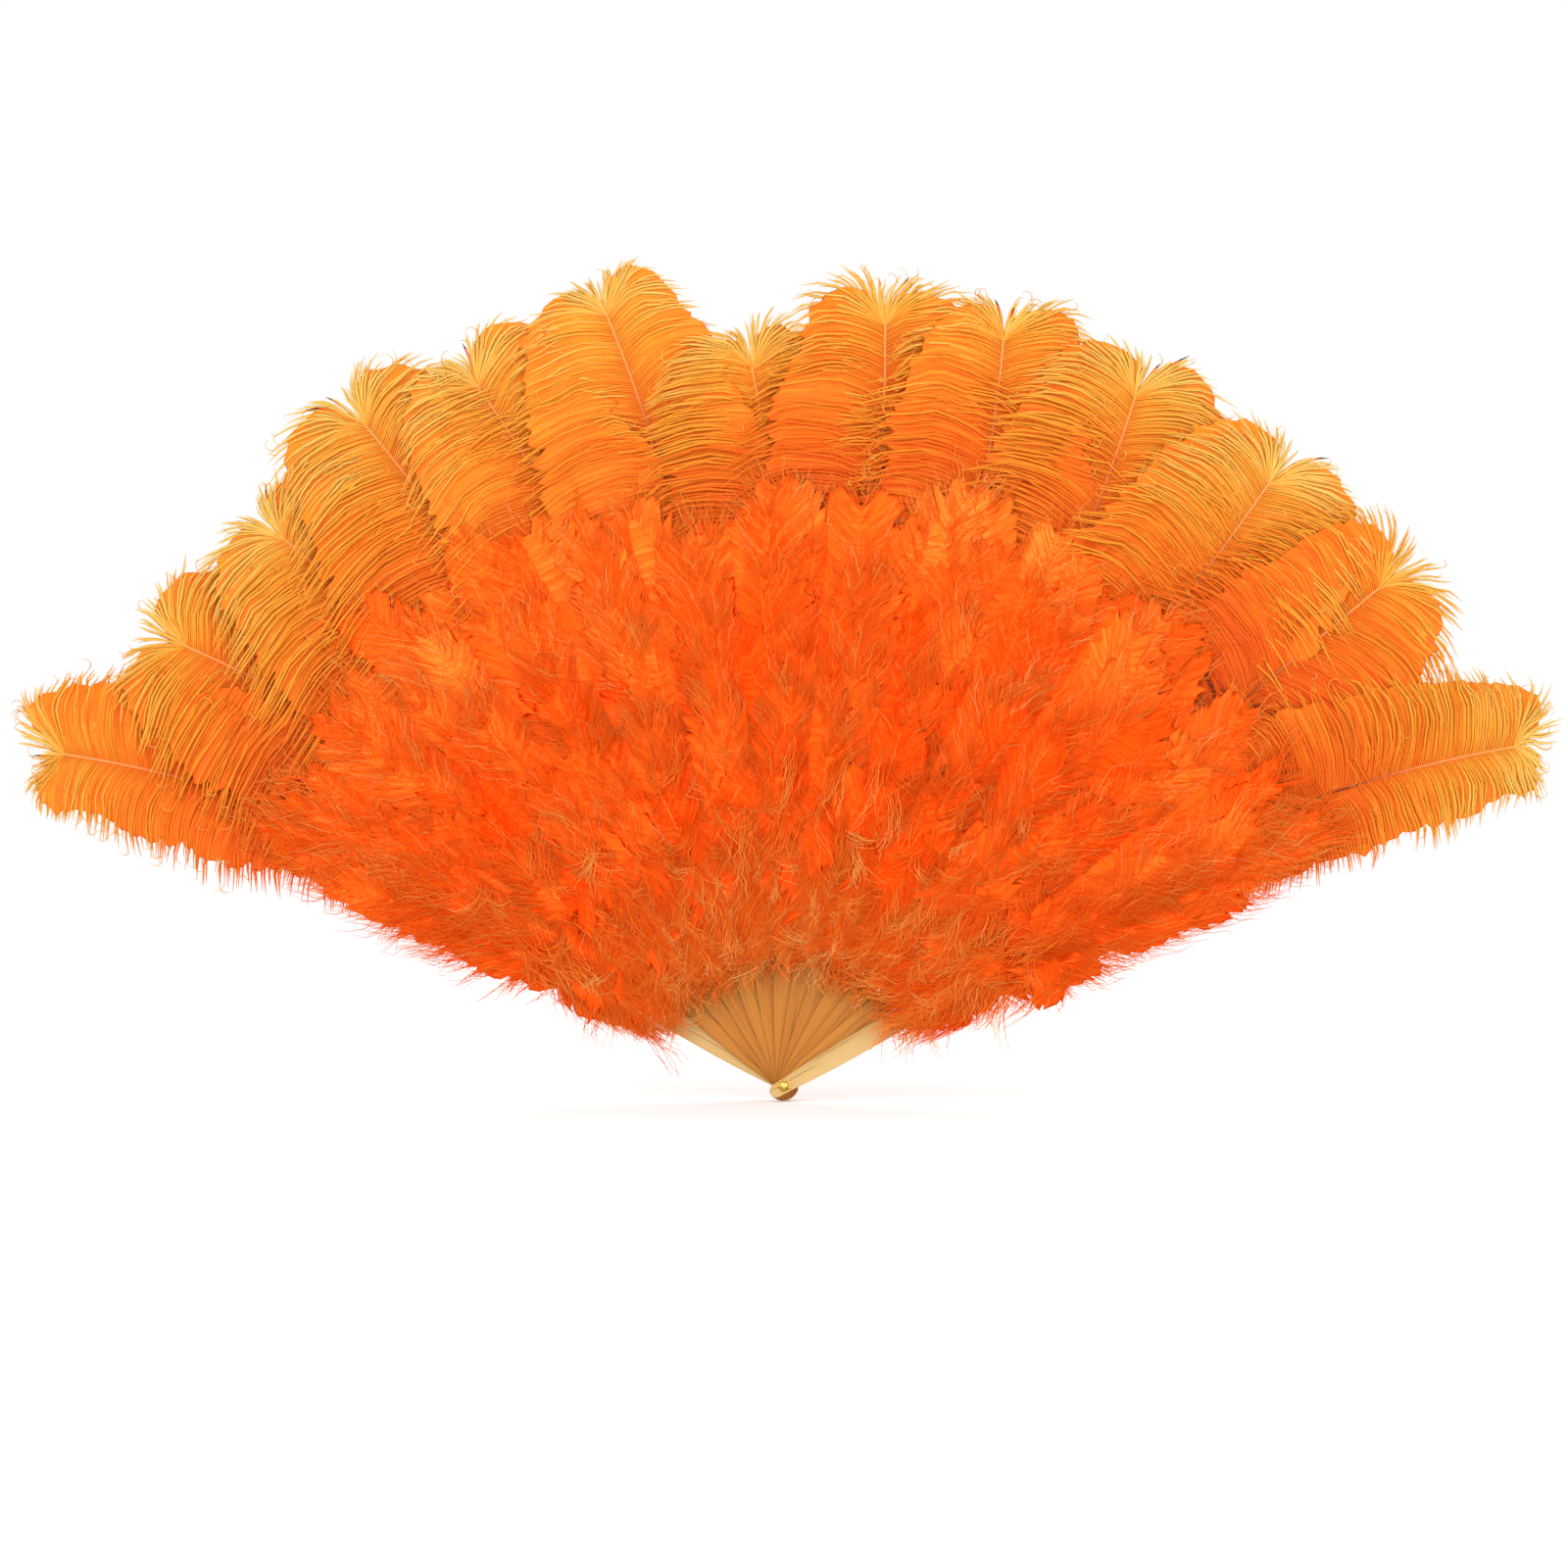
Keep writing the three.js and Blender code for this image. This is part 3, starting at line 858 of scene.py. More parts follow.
    def skin(self, lines: Field, profile: tuple[Field, Field], radius: Field, along: Field, row: Value) -> Field:
        """Wraps lines in closed tubes and maps them: along each from left to right, on the row of its tone.

        Args:
            lines: the curves to wrap.
            profile: the ring to wrap round them, and the place round it.
            radius: the ring's size at each point.
            along: the place along the barb or shaft, from 0 to 1.
            row: the row of the map.

        Returns:
            The tubes as a mesh.
        """
        bench = self.bench
        lines, along = self.capture(lines, along)
        if isinstance(row, Field):
            lines, row = self.capture(lines, row)
        ring, around = profile
        inputs = {"Curve": lines, "Profile Curve": ring, "Scale": radius, "Fill Caps": True}
        mesh = bench.value("GeometryNodeCurveToMesh", None, inputs)
        return self.mapped(mesh, along, row + around * ROW_SHARE + ROW_EDGE)

    def mapped(self, mesh: Field, along: Field, row: Field) -> Field:
        """Stores each corner's place on the map."""
        inputs = {"Geometry": mesh, "Name": BAKE_MAP, "Value": self.bench.vector(along, row / MAP_ROWS, 0.0)}
        return self.bench.value("GeometryNodeStoreNamedAttribute", {"data_type": "FLOAT2", "domain": "CORNER"}, inputs)

    def facing_front(self, lines: Field) -> Field:
        """Turns the curves so that a flat ring's broad side faces the front."""
        inputs = {"Curve": lines, "Normal": self.bench.vector(0.0, -1.0, 0.0)}
        return self.bench.value("GeometryNodeSetCurveNormal", {"mode": "FREE"}, inputs)

    def capture(self, geometry: Field, *values: Field) -> tuple[Field, ...]:
        """Keeps values on the points of a geometry, so that they live on when it changes its form.

        Args:
            geometry: the geometry.
            values: the values to keep.

        Returns:
            The geometry and the kept values.
        """
        bench = self.bench
        node = bench.add("GeometryNodeCaptureAttribute", None, {"Geometry": geometry})
        for number, value in enumerate(values):
            node.capture_items.new("FLOAT", f"Value {number}")
            bench.tree.links.new(value.socket, node.inputs[1 + number])
        return (bench.out(node, 0), *(bench.out(node, 1 + number) for number in range(len(values))))

    def course(self, strand: Strand) -> Field:
        """Finds where the points of a strand lie.

        Args:
            strand: what is known of each point.

        Returns:
            Its place, settled on the fan.
        """
        bench, size, barb, along = self.bench, self.size, strand.barb, strand.along
        side, row = strand.side, strand.row
        climb = bench.between(0.0, 1.0, row / (1 - size["fan_share"]))
        fan = bench.between(0.0, 1.0, (row - 1 + size["fan_share"]) / size["fan_share"])
        factor = size["vane_start"] + (size["vane_end"] - size["vane_start"]) * climb
        inputs = {"Curves": self.lines, "Factor": factor, "Curve Index": strand.shaft}
        sample = bench.add("GeometryNodeSampleCurve", {"mode": "FACTOR", "use_all_curves": False}, inputs)
        root, tangent = bench.out(sample, "Position"), bench.out(sample, "Tangent")
        forward = bench.vector(0.0, -1.0, 0.0)
        right = bench.call("NORMALIZE", bench.call("CROSS_PRODUCT", tangent, forward))
        forward = bench.call("CROSS_PRODUCT", right, tangent)
        angle = bench.between(size["angle_at_base"], size["angle_at_tip"], climb) * (1 - fan * self.fan_closing)
        jitter = size["angle_jitter"] * (1 + fan * self.fan_jitter)
        angle = angle + self.either_way(barb, Draw.ANGLE) * jitter
        bend = bench.between(size["bend"], size["fan_bend"], fan) + self.either_way(barb, Draw.BEND) * jitter
        around = self.around(barb)
        outward = right * (side * bench.math("COSINE", around)) + forward * bench.math("SINE", around)
        first = self.heading(tangent, outward, angle)
        swing = self.heading(tangent, outward, angle + bend) - first
        length = self.barb_length(strand, climb, fan)
        path = root + (first * along + swing * (along * along * 0.5)) * length
        sideways = bench.call("NORMALIZE", bench.call("CROSS_PRODUCT", first + swing * along, forward))
        turn = along * self.wave_angle + self.random(0.0, math.tau, strand.identity, Draw.WAVE)
        wave = bench.math("SINE", turn) * size["wave"] * along
        path = path + sideways * (self.either_way(strand.identity, Draw.ASIDE) * strand.stray + wave)
        path = path + forward * self.rise(strand, climb) + self.down * (size["droop"] * length * along**3)
        return self.settle(path + self.sway(path) * along, strand.identity, strand.held_back)

    def heading(self, tangent: Field, outward: Field, angle: Field) -> Field:
        """The direction that leaves the shaft at an angle."""
        bench = self.bench
        return tangent * bench.math("COSINE", angle) + outward * bench.math("SINE", angle)

    def barb_length(self, strand: Strand, climb: Field, fan: Field) -> Field:
        """The length of the barb that a strand lies on.

        Args:
            strand: the strand.
            climb: how far up the vane the barb stands, from 0 to 1.
            fan: how far into the fan of barbs at the tip it stands, from 0 to 1.

        Returns:
            The length.
        """
        bench, size = self.bench, self.size
        swell = climb * (1 - climb) * size["length_swell"] * 4
        length = bench.between(size["length_at_base"], size["length_at_tip"], climb) + swell
        length = length * bench.between(size["left_share"], size["right_share"], strand.side * 0.5 + 0.5)
        length = length * (1 + self.either_way(strand.barb, Draw.LENGTH) * size["length_jitter"])
        return length * bench.between(1.0, size["fan_length_share"], fan)

    def rise(self, strand: Strand, climb: Field) -> Field:
        """How far a strand stands forward of its feather.

        Args:
            strand: the strand.
            climb: how far up the vane its barb stands, from 0 to 1.

        Returns:
            The height.
        """
        bench, size, along = self.bench, self.size, strand.along
        curl = size["curl"] * along**4 * self.random(*self.curl_shares, strand.barb, Draw.CURL)
        rise = size["lift"] * bench.math("SINE", along * self.lift_angle) + curl
        rise = rise * bench.between(size["base_lift_share"], 1.0, climb * climb * 2)
        rise = rise * bench.between(1.0, size["right_lift_share"], strand.side)
        strayed = self.either_way(strand.identity, Draw.DEPTH) * strand.stray * size["scatter_depth_share"]
        return rise + strayed + self.either_way(strand.barb, Draw.LAYER) * size["layer_step"] - strand.sink

    def sway(self, place: Field) -> Field:
        """Sways neighbouring barbs together, so that they part into locks.

        Args:
            place: a point of the feather.

        Returns:
            How far it sways, and which way.
        """
        bench, size = self.bench, self.size
        x, y = (self.seed * shift for shift in self.sway_shift)
        shifted = {"Vector": place / size["sway_size"] + bench.vector(x, y, 0.0), "Scale": 1.0, "Detail": 2.0}
        noise = bench.value("ShaderNodeTexNoise", None, shifted, "Color")
        return (noise - bench.vector(0.5, 0.5, 0.5)) * (size["sway"] * self.sway_gain)

    def reach(self, place: Field) -> Field:
        """The distance from the rivet's axis."""
        x, _, z = self.bench.split(place)
        return self.bench.math("SQRT", x * x + z * z)

    def forward_curl(self, reach: Field) -> Field:
        """How far the fan has curled forward at a distance from the rivet's axis."""
        beyond = self.bench.math("MAXIMUM", reach - LAYOUT.bend_start, 0.0) / (LAYOUT.plume_reach - LAYOUT.bend_start)
        return beyond * beyond * LAYOUT.tip_curl

    def around(self, barb: Field) -> Field:
        """How far each barb is turned round the shaft, from flat out to its side towards the front."""
        return self.either_way(barb, Draw.AROUND) * self.size["roundness"]

    def settle(self, place: Field, identity: Value, held_back: Value = 0.0) -> Field:
        """Puts a point of the flat feather where it lies on the fan.

        Args:
            place: the point.
            identity: the number of the point's strand.
            held_back: how much further from the rivet than the longest strands it ends.

        Returns:
            The point on the fan.
        """
        raise NotImplementedError

    def tone(self, strand: Strand) -> Field:
        """A strand's tone, from 0 for the deepest to 1 for the palest."""
        raise NotImplementedError

    def body_tone(self, shaft: Value) -> Field:
        """The tone of the web that a shaft carries, from 0 to 1."""
        return self.random(0.0, 1.0, shaft, Draw.WEB_TONE)

    def tone_row(self, tone: Field, first: int = 0, tones: int = STRAND_TONES) -> Field:
        """The row of the map that holds a tone, among a number of rows from the first."""
        return self.bench.math("FLOOR", self.bench.between(0.0, tones - 1.0, tone)) + first

    def grow(
        self, name: str, shafts: Sequence[Sequence[Vector]], sizes: BarbSizes, seed: int, material: bpy.types.Material,
        placing: Matrix,
    ) -> bpy.types.Object:
        """Grows one piece.

        Args:
            name: the piece's name.
            shafts: each shaft's points, on the upright leaf.
            sizes: the barbs' sizes.
            seed: the seed of all that is random in the piece.
            material: what it is dressed in.
            placing: the turn of its leaf.

        Returns:
            The finished piece, a plain mesh.
        """
        carrier = object_of(name + "_shafts", line_mesh(name + "_shafts", shafts))
        modifier = carrier.modifiers.new("Barbs", "NODES")
        modifier.node_group = self.bench.tree
        values = {socket_name(item.name): getattr(sizes, item.name) for item in fields(BarbSizes)}
        values["Shaft Count"] = len(shafts)
        values["Down"] = placing.inverted() @ Vector((0, 0, -1))
        values["Seed"] = seed
        values["Material"] = material
        for socket in self.bench.tree.interface.items_tree:
            if socket.item_type == "SOCKET" and socket.in_out == "INPUT" and socket.name in values:
                modifier[socket.identifier] = values[socket.name]
        graph = bpy.context.evaluated_depsgraph_get()
        mesh = bpy.data.meshes.new_from_object(carrier.evaluated_get(graph))
        bpy.data.objects.remove(carrier)
        mesh.name = name
        mesh.transform(placing)
        return object_of(name, mesh)


class PlumeBarbTree(BarbTree):
    """The barbs of an ostrich plume, which lie flat beside the shaft and curl forward with the fan."""

    tones: Pair = (0.14, 0.96)
    pales_from: float = 0.15
    paling: float = 1.4
    tone_spread: float = 0.08
    feather_tone_spread: float = 0.2
    least_tone: float = 0.12
    dark_over: float = 0.93

    def settle(self, place: Field, identity: Value, held_back: Value = 0.0) -> Field:
        """Curls the plume forward by its distance from the rivet."""
        x, y, z = self.bench.split(place)
        return self.bench.vector(x, y + self.size["layer_front"] - self.forward_curl(self.reach(place)), z)

    def tone(self, strand: Strand) -> Field:
        """Makes the strands deep orange near the down and golden at the rim, with a few dark ones there.

        Args:
            strand: the strand.

        Returns:
            Its tone.
        """
        bench, row, spread = self.bench, strand.row, self.tone_spread
        high = bench.between(0.0, 1.0, (row - self.pales_from) / (1 - self.pales_from)) ** self.paling
        tone = bench.between(*self.tones, high) + self.random(-spread, spread, strand.barb, Draw.BARB_TONE)
        tone = tone + self.random(-spread, spread, strand.identity, Draw.STRAND_TONE)
        tone = tone + (self.body_tone(strand.shaft) - 0.5) * self.feather_tone_spread
        odd = self.random(0, 1, strand.identity, Draw.ODD_STRAND) * row
        return bench.math("MAXIMUM", tone, self.least_tone) * (1 - bench.math("GREATER_THAN", odd, self.dark_over))


class DownBarbTree(BarbTree):
    """The long soft barbs of marabou, which stand all round small shafts and crown each stick."""

    filament_flatness = 0.35
    turned_round: Pair = (-0.1, 0.3)
    web_rows = 24
    web_sides = 10
    web_teeth = 26.0
    web_rag = 0.8
    web_sink = 7 * MM
    web_held_back = 10 * MM
    web_outline = ((0, 0.02), (0.12, 0.75), (0.3, 1), (0.6, 0.8), (0.85, 0.4), (1, 0.02))
    web_setback = 0.3 * MM
    depth: float = 28 * MM
    starts_at: float = 62 * MM
    ends_at: float = 312 * MM
    crown: Knots = (
        (0, 0.45), (0.05, 0.84), (0.12, 0.98), (0.3, 1), (0.42, 0.94), (0.46, 0.76),
        (0.58, 0.8), (0.68, 0.74), (0.72, 0.62), (0.84, 0.58), (0.94, 0.48), (1, 0.3),
    )
    crown_shares: Pair = (0.95, 1.05)
    crown_softness: float = 4 * MM
    edges: Knots = ((0, 0.88), (0.22, 0.82), (0.45, 0.42), (0.7, 0.3), (1, 0.3))
    squeeze: float = 0.03
    lift_off: float = 0.9 * MM
    hem: Pair = (61 * MM, 80 * MM)
    hem_pull: float = 0.85
    limits_from: float = 60 * MM
    limits_over: float = 100 * MM
    limit_at_hem: float = 0.15
    limit_shares: Pair = (0.6, 1.0)
    limit_pull: float = 0.7
    bed_points: int = 40
    bed_sides: int = 16
    bed_insets: Pair = (9 * MM, 28 * MM)
    bed_outline: Knots = ((0, 0.5), (0.04, 0.85), (0.1, 1), (0.85, 1), (0.95, 0.75), (1, 0.2))
    bed_share: float = 0.7
    bed_width_share: float = 1.3
    bed_lumps: float = 2.5
    bed_tone: float = 0.5
    lock_rings: int = 7
    strands_per_lock: int = 8
    lock_roots: Pair = (82 * MM, 190 * MM)
    lock_crowding: float = 2.2
    lock_turn_share: float = 0.6
    lock_leans: Pair = (0.4, 1.3)
    low_locks: float = 100 * MM
    lock_lengths: Pair = (16 * MM, 36 * MM)
    lock_strand_lengths: Pair = (0.75, 1.1)
    lock_depths: Pair = (1.0, 1.16)
    lock_rises: Pair = (0.9, 1.05)
    lock_spread: float = 4 * MM
    lock_gather: float = 0.25
    lock_bow: float = 0.9
    lock_strand_bow_share: float = 0.3
    lock_wave_angle: float = 11.0
    lock_thickness: float = 0.3 * MM
    lock_end_share: float = 0.4
    lock_tones: Pair = (0.42, 0.86)
    lock_strand_tones: Pair = (-0.1, 0.15)
    backing_rings: int = 6
    backing_roots: Pair = (78 * MM, 232 * MM)
    backing_turn_share: float = 0.45
    backing_lengths: Pair = (12 * MM, 30 * MM)
    backing_depths: Pair = (0.28 * MM, 0.5 * MM)
    backing_lean: float = 0.5
    backing_bow: float = 1.1
    backing_thickness: float = 0.36 * MM
    backing_end_share: float = 0.35
    backing_tones: Pair = (0.0, 0.95)
    strand_tone: float = 0.28
    strand_tone_spread: float = 0.12
    pale_over: float = 0.8
    pale_gain: float = 0.3
    feather_tone: float = 0.32
    feather_tone_spread: float = 0.26
    pales_from: float = 180 * MM
    paling: float = 1.5

    def layers(self) -> list[Field]:
        """A tuft has no flat barbs and no hooks, but locks, and a bed of matted down under its feathers."""
        return [self.filaments(), self.tubes(), self.webs(), self.bed(), self.locks(), self.backing()]

    def ahead(self, reach: Field, turn: Field, heading: Field, late: Field) -> tuple[Field, Field]:
        """Where a strand that lies in the tuft's plane has got to.

        Args:
            reach: the distance of its root from the rivet.
            turn: the turn of its root about the rivet.
            heading: the way it goes from there.
            late: how far it has gone.

        Returns:
            Its x and z.
        """
        bench = self.bench
        x = reach * bench.math("SINE", turn) + late * bench.math("SINE", heading)
        return x, reach * bench.math("COSINE", turn) + late * bench.math("COSINE", heading)

    def locks(self) -> Field:
        """Grows curly locks over the lower half. The lowest hang over the sticks.

        Returns:
            Their mesh.
        """
        bench, size = self.bench, self.size
        identity, ring = self.counted(self.lock_rings)
        lock = bench.steps_down(identity, self.strands_per_lock)
        reach = bench.between(*self.lock_roots, self.random(0, 1, lock, Draw.LOCK_ROOT) ** self.lock_crowding)
        turn = self.either_way(lock, Draw.LOCK_TURN) * (LAYOUT.spacing * self.lock_turn_share)
        lean = bench.between(*self.lock_leans, (reach - self.low_locks) / self.low_locks)
        length = self.random(*self.lock_lengths, lock, Draw.LOCK_LENGTH)
        spread = bench.between(1.0, self.lock_gather, ring) * self.lock_spread
        aside = self.either_way(identity, Draw.LOCK_ASIDE) * spread
        own_bow = self.either_way(identity, Draw.LOCK_STRAND_BOW) * self.lock_bow * self.lock_strand_bow_share
        bow = self.either_way(lock, Draw.LOCK_BOW) * self.lock_bow + own_bow
        heading = math.pi + self.either_way(lock, Draw.LOCK_HEADING) * lean + bow * ring
        late = ring * length * self.random(*self.lock_strand_lengths, identity, Draw.LOCK_STRAND_LENGTH)
        x, z = self.ahead(reach, turn, heading, late)
        x = x + aside * bench.math("COSINE", heading)
        z = z - aside * bench.math("SINE", heading)
        depth = bench.between(*self.lock_rises, ring) * self.depth
        depth = depth + self.either_way(identity, Draw.LOCK_DEPTH) * spread * 0.5
        share = self.random(*self.lock_depths, identity, Draw.LOCK_CROWN)
        wave = ring * self.lock_wave_angle + self.random(0, math.tau, identity, Draw.LOCK_WAVE)
        wave = bench.math("SINE", wave) * ring * size["wave"]
        place = self.crowned(bench.vector(x, -depth, z), share) + bench.vector(wave, 0.0, 0.0)
        lines = self.joined(size["locks"] * self.strands_per_lock * self.lock_rings, place, identity, ring)
        thick = bench.between(1.0, self.lock_end_share, ring) * self.lock_thickness
        tone = self.random(*self.lock_tones, lock, Draw.LOCK_TONE)
        tone = tone + self.random(*self.lock_strand_tones, identity, Draw.LOCK_STRAND_TONE)
        return self.strand_skin(lines, thick, ring, tone)

    def backing(self) -> Field:
        """Grows loose strands that lie flat on the back of the bed, between the sticks.

        Returns:
            Their mesh.
        """
        bench, size = self.bench, self.size
        identity, ring = self.counted(self.backing_rings)
        reach = self.random(*self.backing_roots, identity, Draw.BACKING_ROOT)
        share = self.backing_turn_share
        turn = self.random(-share, share, identity, Draw.BACKING_TURN) * LAYOUT.spacing
        heading = turn + self.either_way(identity, Draw.BACKING_LEAN) * self.backing_lean
        heading = heading + self.either_way(identity, Draw.BACKING_BOW) * self.backing_bow * ring
        late = self.random(*self.backing_lengths, identity, Draw.BACKING_LENGTH) * ring
        x, z = self.ahead(reach, turn, heading, late)
        depth = self.random(*self.backing_depths, identity, Draw.BACKING_DEPTH)
        place = bench.vector(x, size["layer_front"] - depth, z)
        lines = self.joined(size["backing_strands"] * self.backing_rings, place, identity, ring)
        thick = bench.between(1.0, self.backing_end_share, ring) * self.backing_thickness
        return self.strand_skin(lines, thick, ring, self.random(*self.backing_tones, identity, Draw.BACKING_TONE))

    def bed(self) -> Field:
        """Makes the matted down close to the stick, which fills the leaf's share of the fan.

        Returns:
            Its mesh.
        """
        bench = self.bench
        start, end = self.starts_at + self.bed_insets[0], self.ends_at - self.bed_insets[1]
        line = bench.value("GeometryNodeCurvePrimitiveLine", None, {"Start": (0, 0, start), "End": (0, 0, end)})
        line = bench.value("GeometryNodeResampleCurve", None, {"Curve": line, "Count": self.bed_points})
        along = bench.value("GeometryNodeSplineParameter", output="Factor")
        share = math.sin(LAYOUT.spacing / 2) * self.bed_width_share
        width = self.reach(bench.value("GeometryNodeInputPosition")) * share
        width = width * bench.profile(along, self.bed_outline)
        row = BODY_ROW + math.floor(BODY_TONES * self.bed_tone)
        tube = self.skin(self.facing_front(line), self.profile(self.bed_sides, 1.0, True), width, along, row)
        here = bench.value("GeometryNodeInputPosition")
        lumps = (self.sway(here * self.bed_lumps) + here) * bench.vector(1.0, self.bed_lumps, 1.0)
        inputs = {"Geometry": tube, "Position": self.crowned(lumps, self.bed_share)}
        return bench.value("GeometryNodeSetPosition", None, inputs)

    def settle(self, place: Field, identity: Value, held_back: Value = 0.0) -> Field:
        """Keeps the down between its stick and its crown, clear of the grip and inside the leaf's outline.

        Args:
            place: the point.
            identity: the number of the point's strand.
            held_back: how much further from the rivet than the longest strands it ends.

        Returns:
            The point on the fan.
        """
        bench, size = self.bench, self.size
        x, y, z = bench.split(place)
        short = bench.math("MAXIMUM", self.random(*self.hem, identity, Draw.HEM) + held_back - z, 0.0)
        z = z + short * self.hem_pull
        width = bench.between(self.limit_at_hem, 1.0, (z - self.limits_from) / self.limits_over)
        width = width * self.random(*self.limit_shares, identity, Draw.WIDTH)
        over = bench.math("MAXIMUM", x - width * size["right_limit"], 0.0)
        under = bench.math("MAXIMUM", -width * size["left_limit"] - x, 0.0)
        x = x - over * self.limit_pull + under * self.limit_pull
        return self.crowned(bench.vector(x, y, z), self.random(*self.crown_shares, identity, Draw.CROWN))

    def crowned(self, place: Field, share: Value) -> Field:
        """Scales a point's depth to the height of the crown there.

        Args:
            place: the point, in a tuft of even depth.
            share: how much of the crown it may fill.

        Returns:
            The point in the crowned tuft.
        """
        bench = self.bench
        x, y, z = bench.split(place)
        reach = self.reach(place)
        along = bench.between(0.0, 1.0, (reach - self.starts_at) / (self.ends_at - self.starts_at))
        half = reach * math.sin(LAYOUT.spacing / 2)
        across = bench.between(0.0, 1.0, bench.math("ABSOLUTE", x) / half)
        valley = across * across * (1 - bench.profile(along, self.edges))
        crown = bench.profile(along, self.crown) * (1 - valley)
        top = share * self.depth
        pressed = bench.math("MAXIMUM", -y - top, 0.0) * self.squeeze
        depth = (bench.math("SMOOTH_MIN", -y, top, self.crown_softness) + pressed) * crown
        seat = LAYOUT.seat_gap + self.lift_off
        depth = bench.math("MAXIMUM", depth, seat) + bench.math("MINIMUM", depth - seat, 0.0) * self.squeeze
        return bench.vector(x, self.size["layer_front"] - depth - self.forward_curl(reach), z)

    def around(self, barb: Field) -> Field:
        """Turns the barbs round the front of the shaft."""
        return self.random(*self.turned_round, barb, Draw.AROUND)

    def tone(self, strand: Strand) -> Field:
        """Mixes the tones from feather to feather, with some pale long filaments.

        Args:
            strand: the strand.

        Returns:
            Its tone.
        """
        tone = self.strand_tone + self.body_tone(strand.shaft) * 0.5
        spread = self.strand_tone_spread
        tone = tone + self.random(-spread, spread, strand.barb, Draw.BARB_TONE)
        odd = self.random(0, 1, strand.identity, Draw.ODD_STRAND)
        return tone + self.bench.math("GREATER_THAN", odd, self.pale_over) * self.pale_gain

    def body_tone(self, shaft: Value) -> Field:
        """Makes the webs paler towards the rim, and mixed from feather to feather.

        Args:
            shaft: the shaft's number.

        Returns:
            The tone of its web.
        """
        inputs = {"Curves": self.lines, "Factor": 0.5, "Curve Index": shaft}
        settings = {"mode": "FACTOR", "use_all_curves": False}
        middle = self.bench.value("GeometryNodeSampleCurve", settings, inputs, "Position")
        outer = self.bench.between(0.0, 1.0, (self.reach(middle) - self.pales_from) / (self.ends_at - self.pales_from))
        spread = self.feather_tone_spread
        mixed = self.random(-spread, spread, shaft, Draw.FEATHER_TONE)
        return self.feather_tone + outer**self.paling * 0.5 + mixed


def line_mesh(name: str, lines: Sequence[Sequence[Vector]]) -> bpy.types.Mesh:
    """Makes a mesh of nothing but edges, one chain for each line.

    Args:
        name: the mesh's name.
        lines: each line's points.

    Returns:
        The mesh.
    """
    points = [tuple(point) for line in lines for point in line]
    edges, first = [], 0
    for line in lines:
        edges += [(first + i, first + i + 1) for i in range(len(line) - 1)]
        first += len(line)
    mesh = bpy.data.meshes.new(name)
    mesh.from_pydata(points, edges, [])
    return mesh


def object_of(name: str, data: bpy.types.ID) -> bpy.types.Object:
    """Puts a mesh, a light or a camera in the scene as an object at the origin.

    Args:
        name: the object's name.
        data: the mesh, light or camera.

    Returns:
        The object.
    """
    piece = bpy.data.objects.new(name, data)
    bpy.context.scene.collection.objects.link(piece)
    return piece


# Finishes


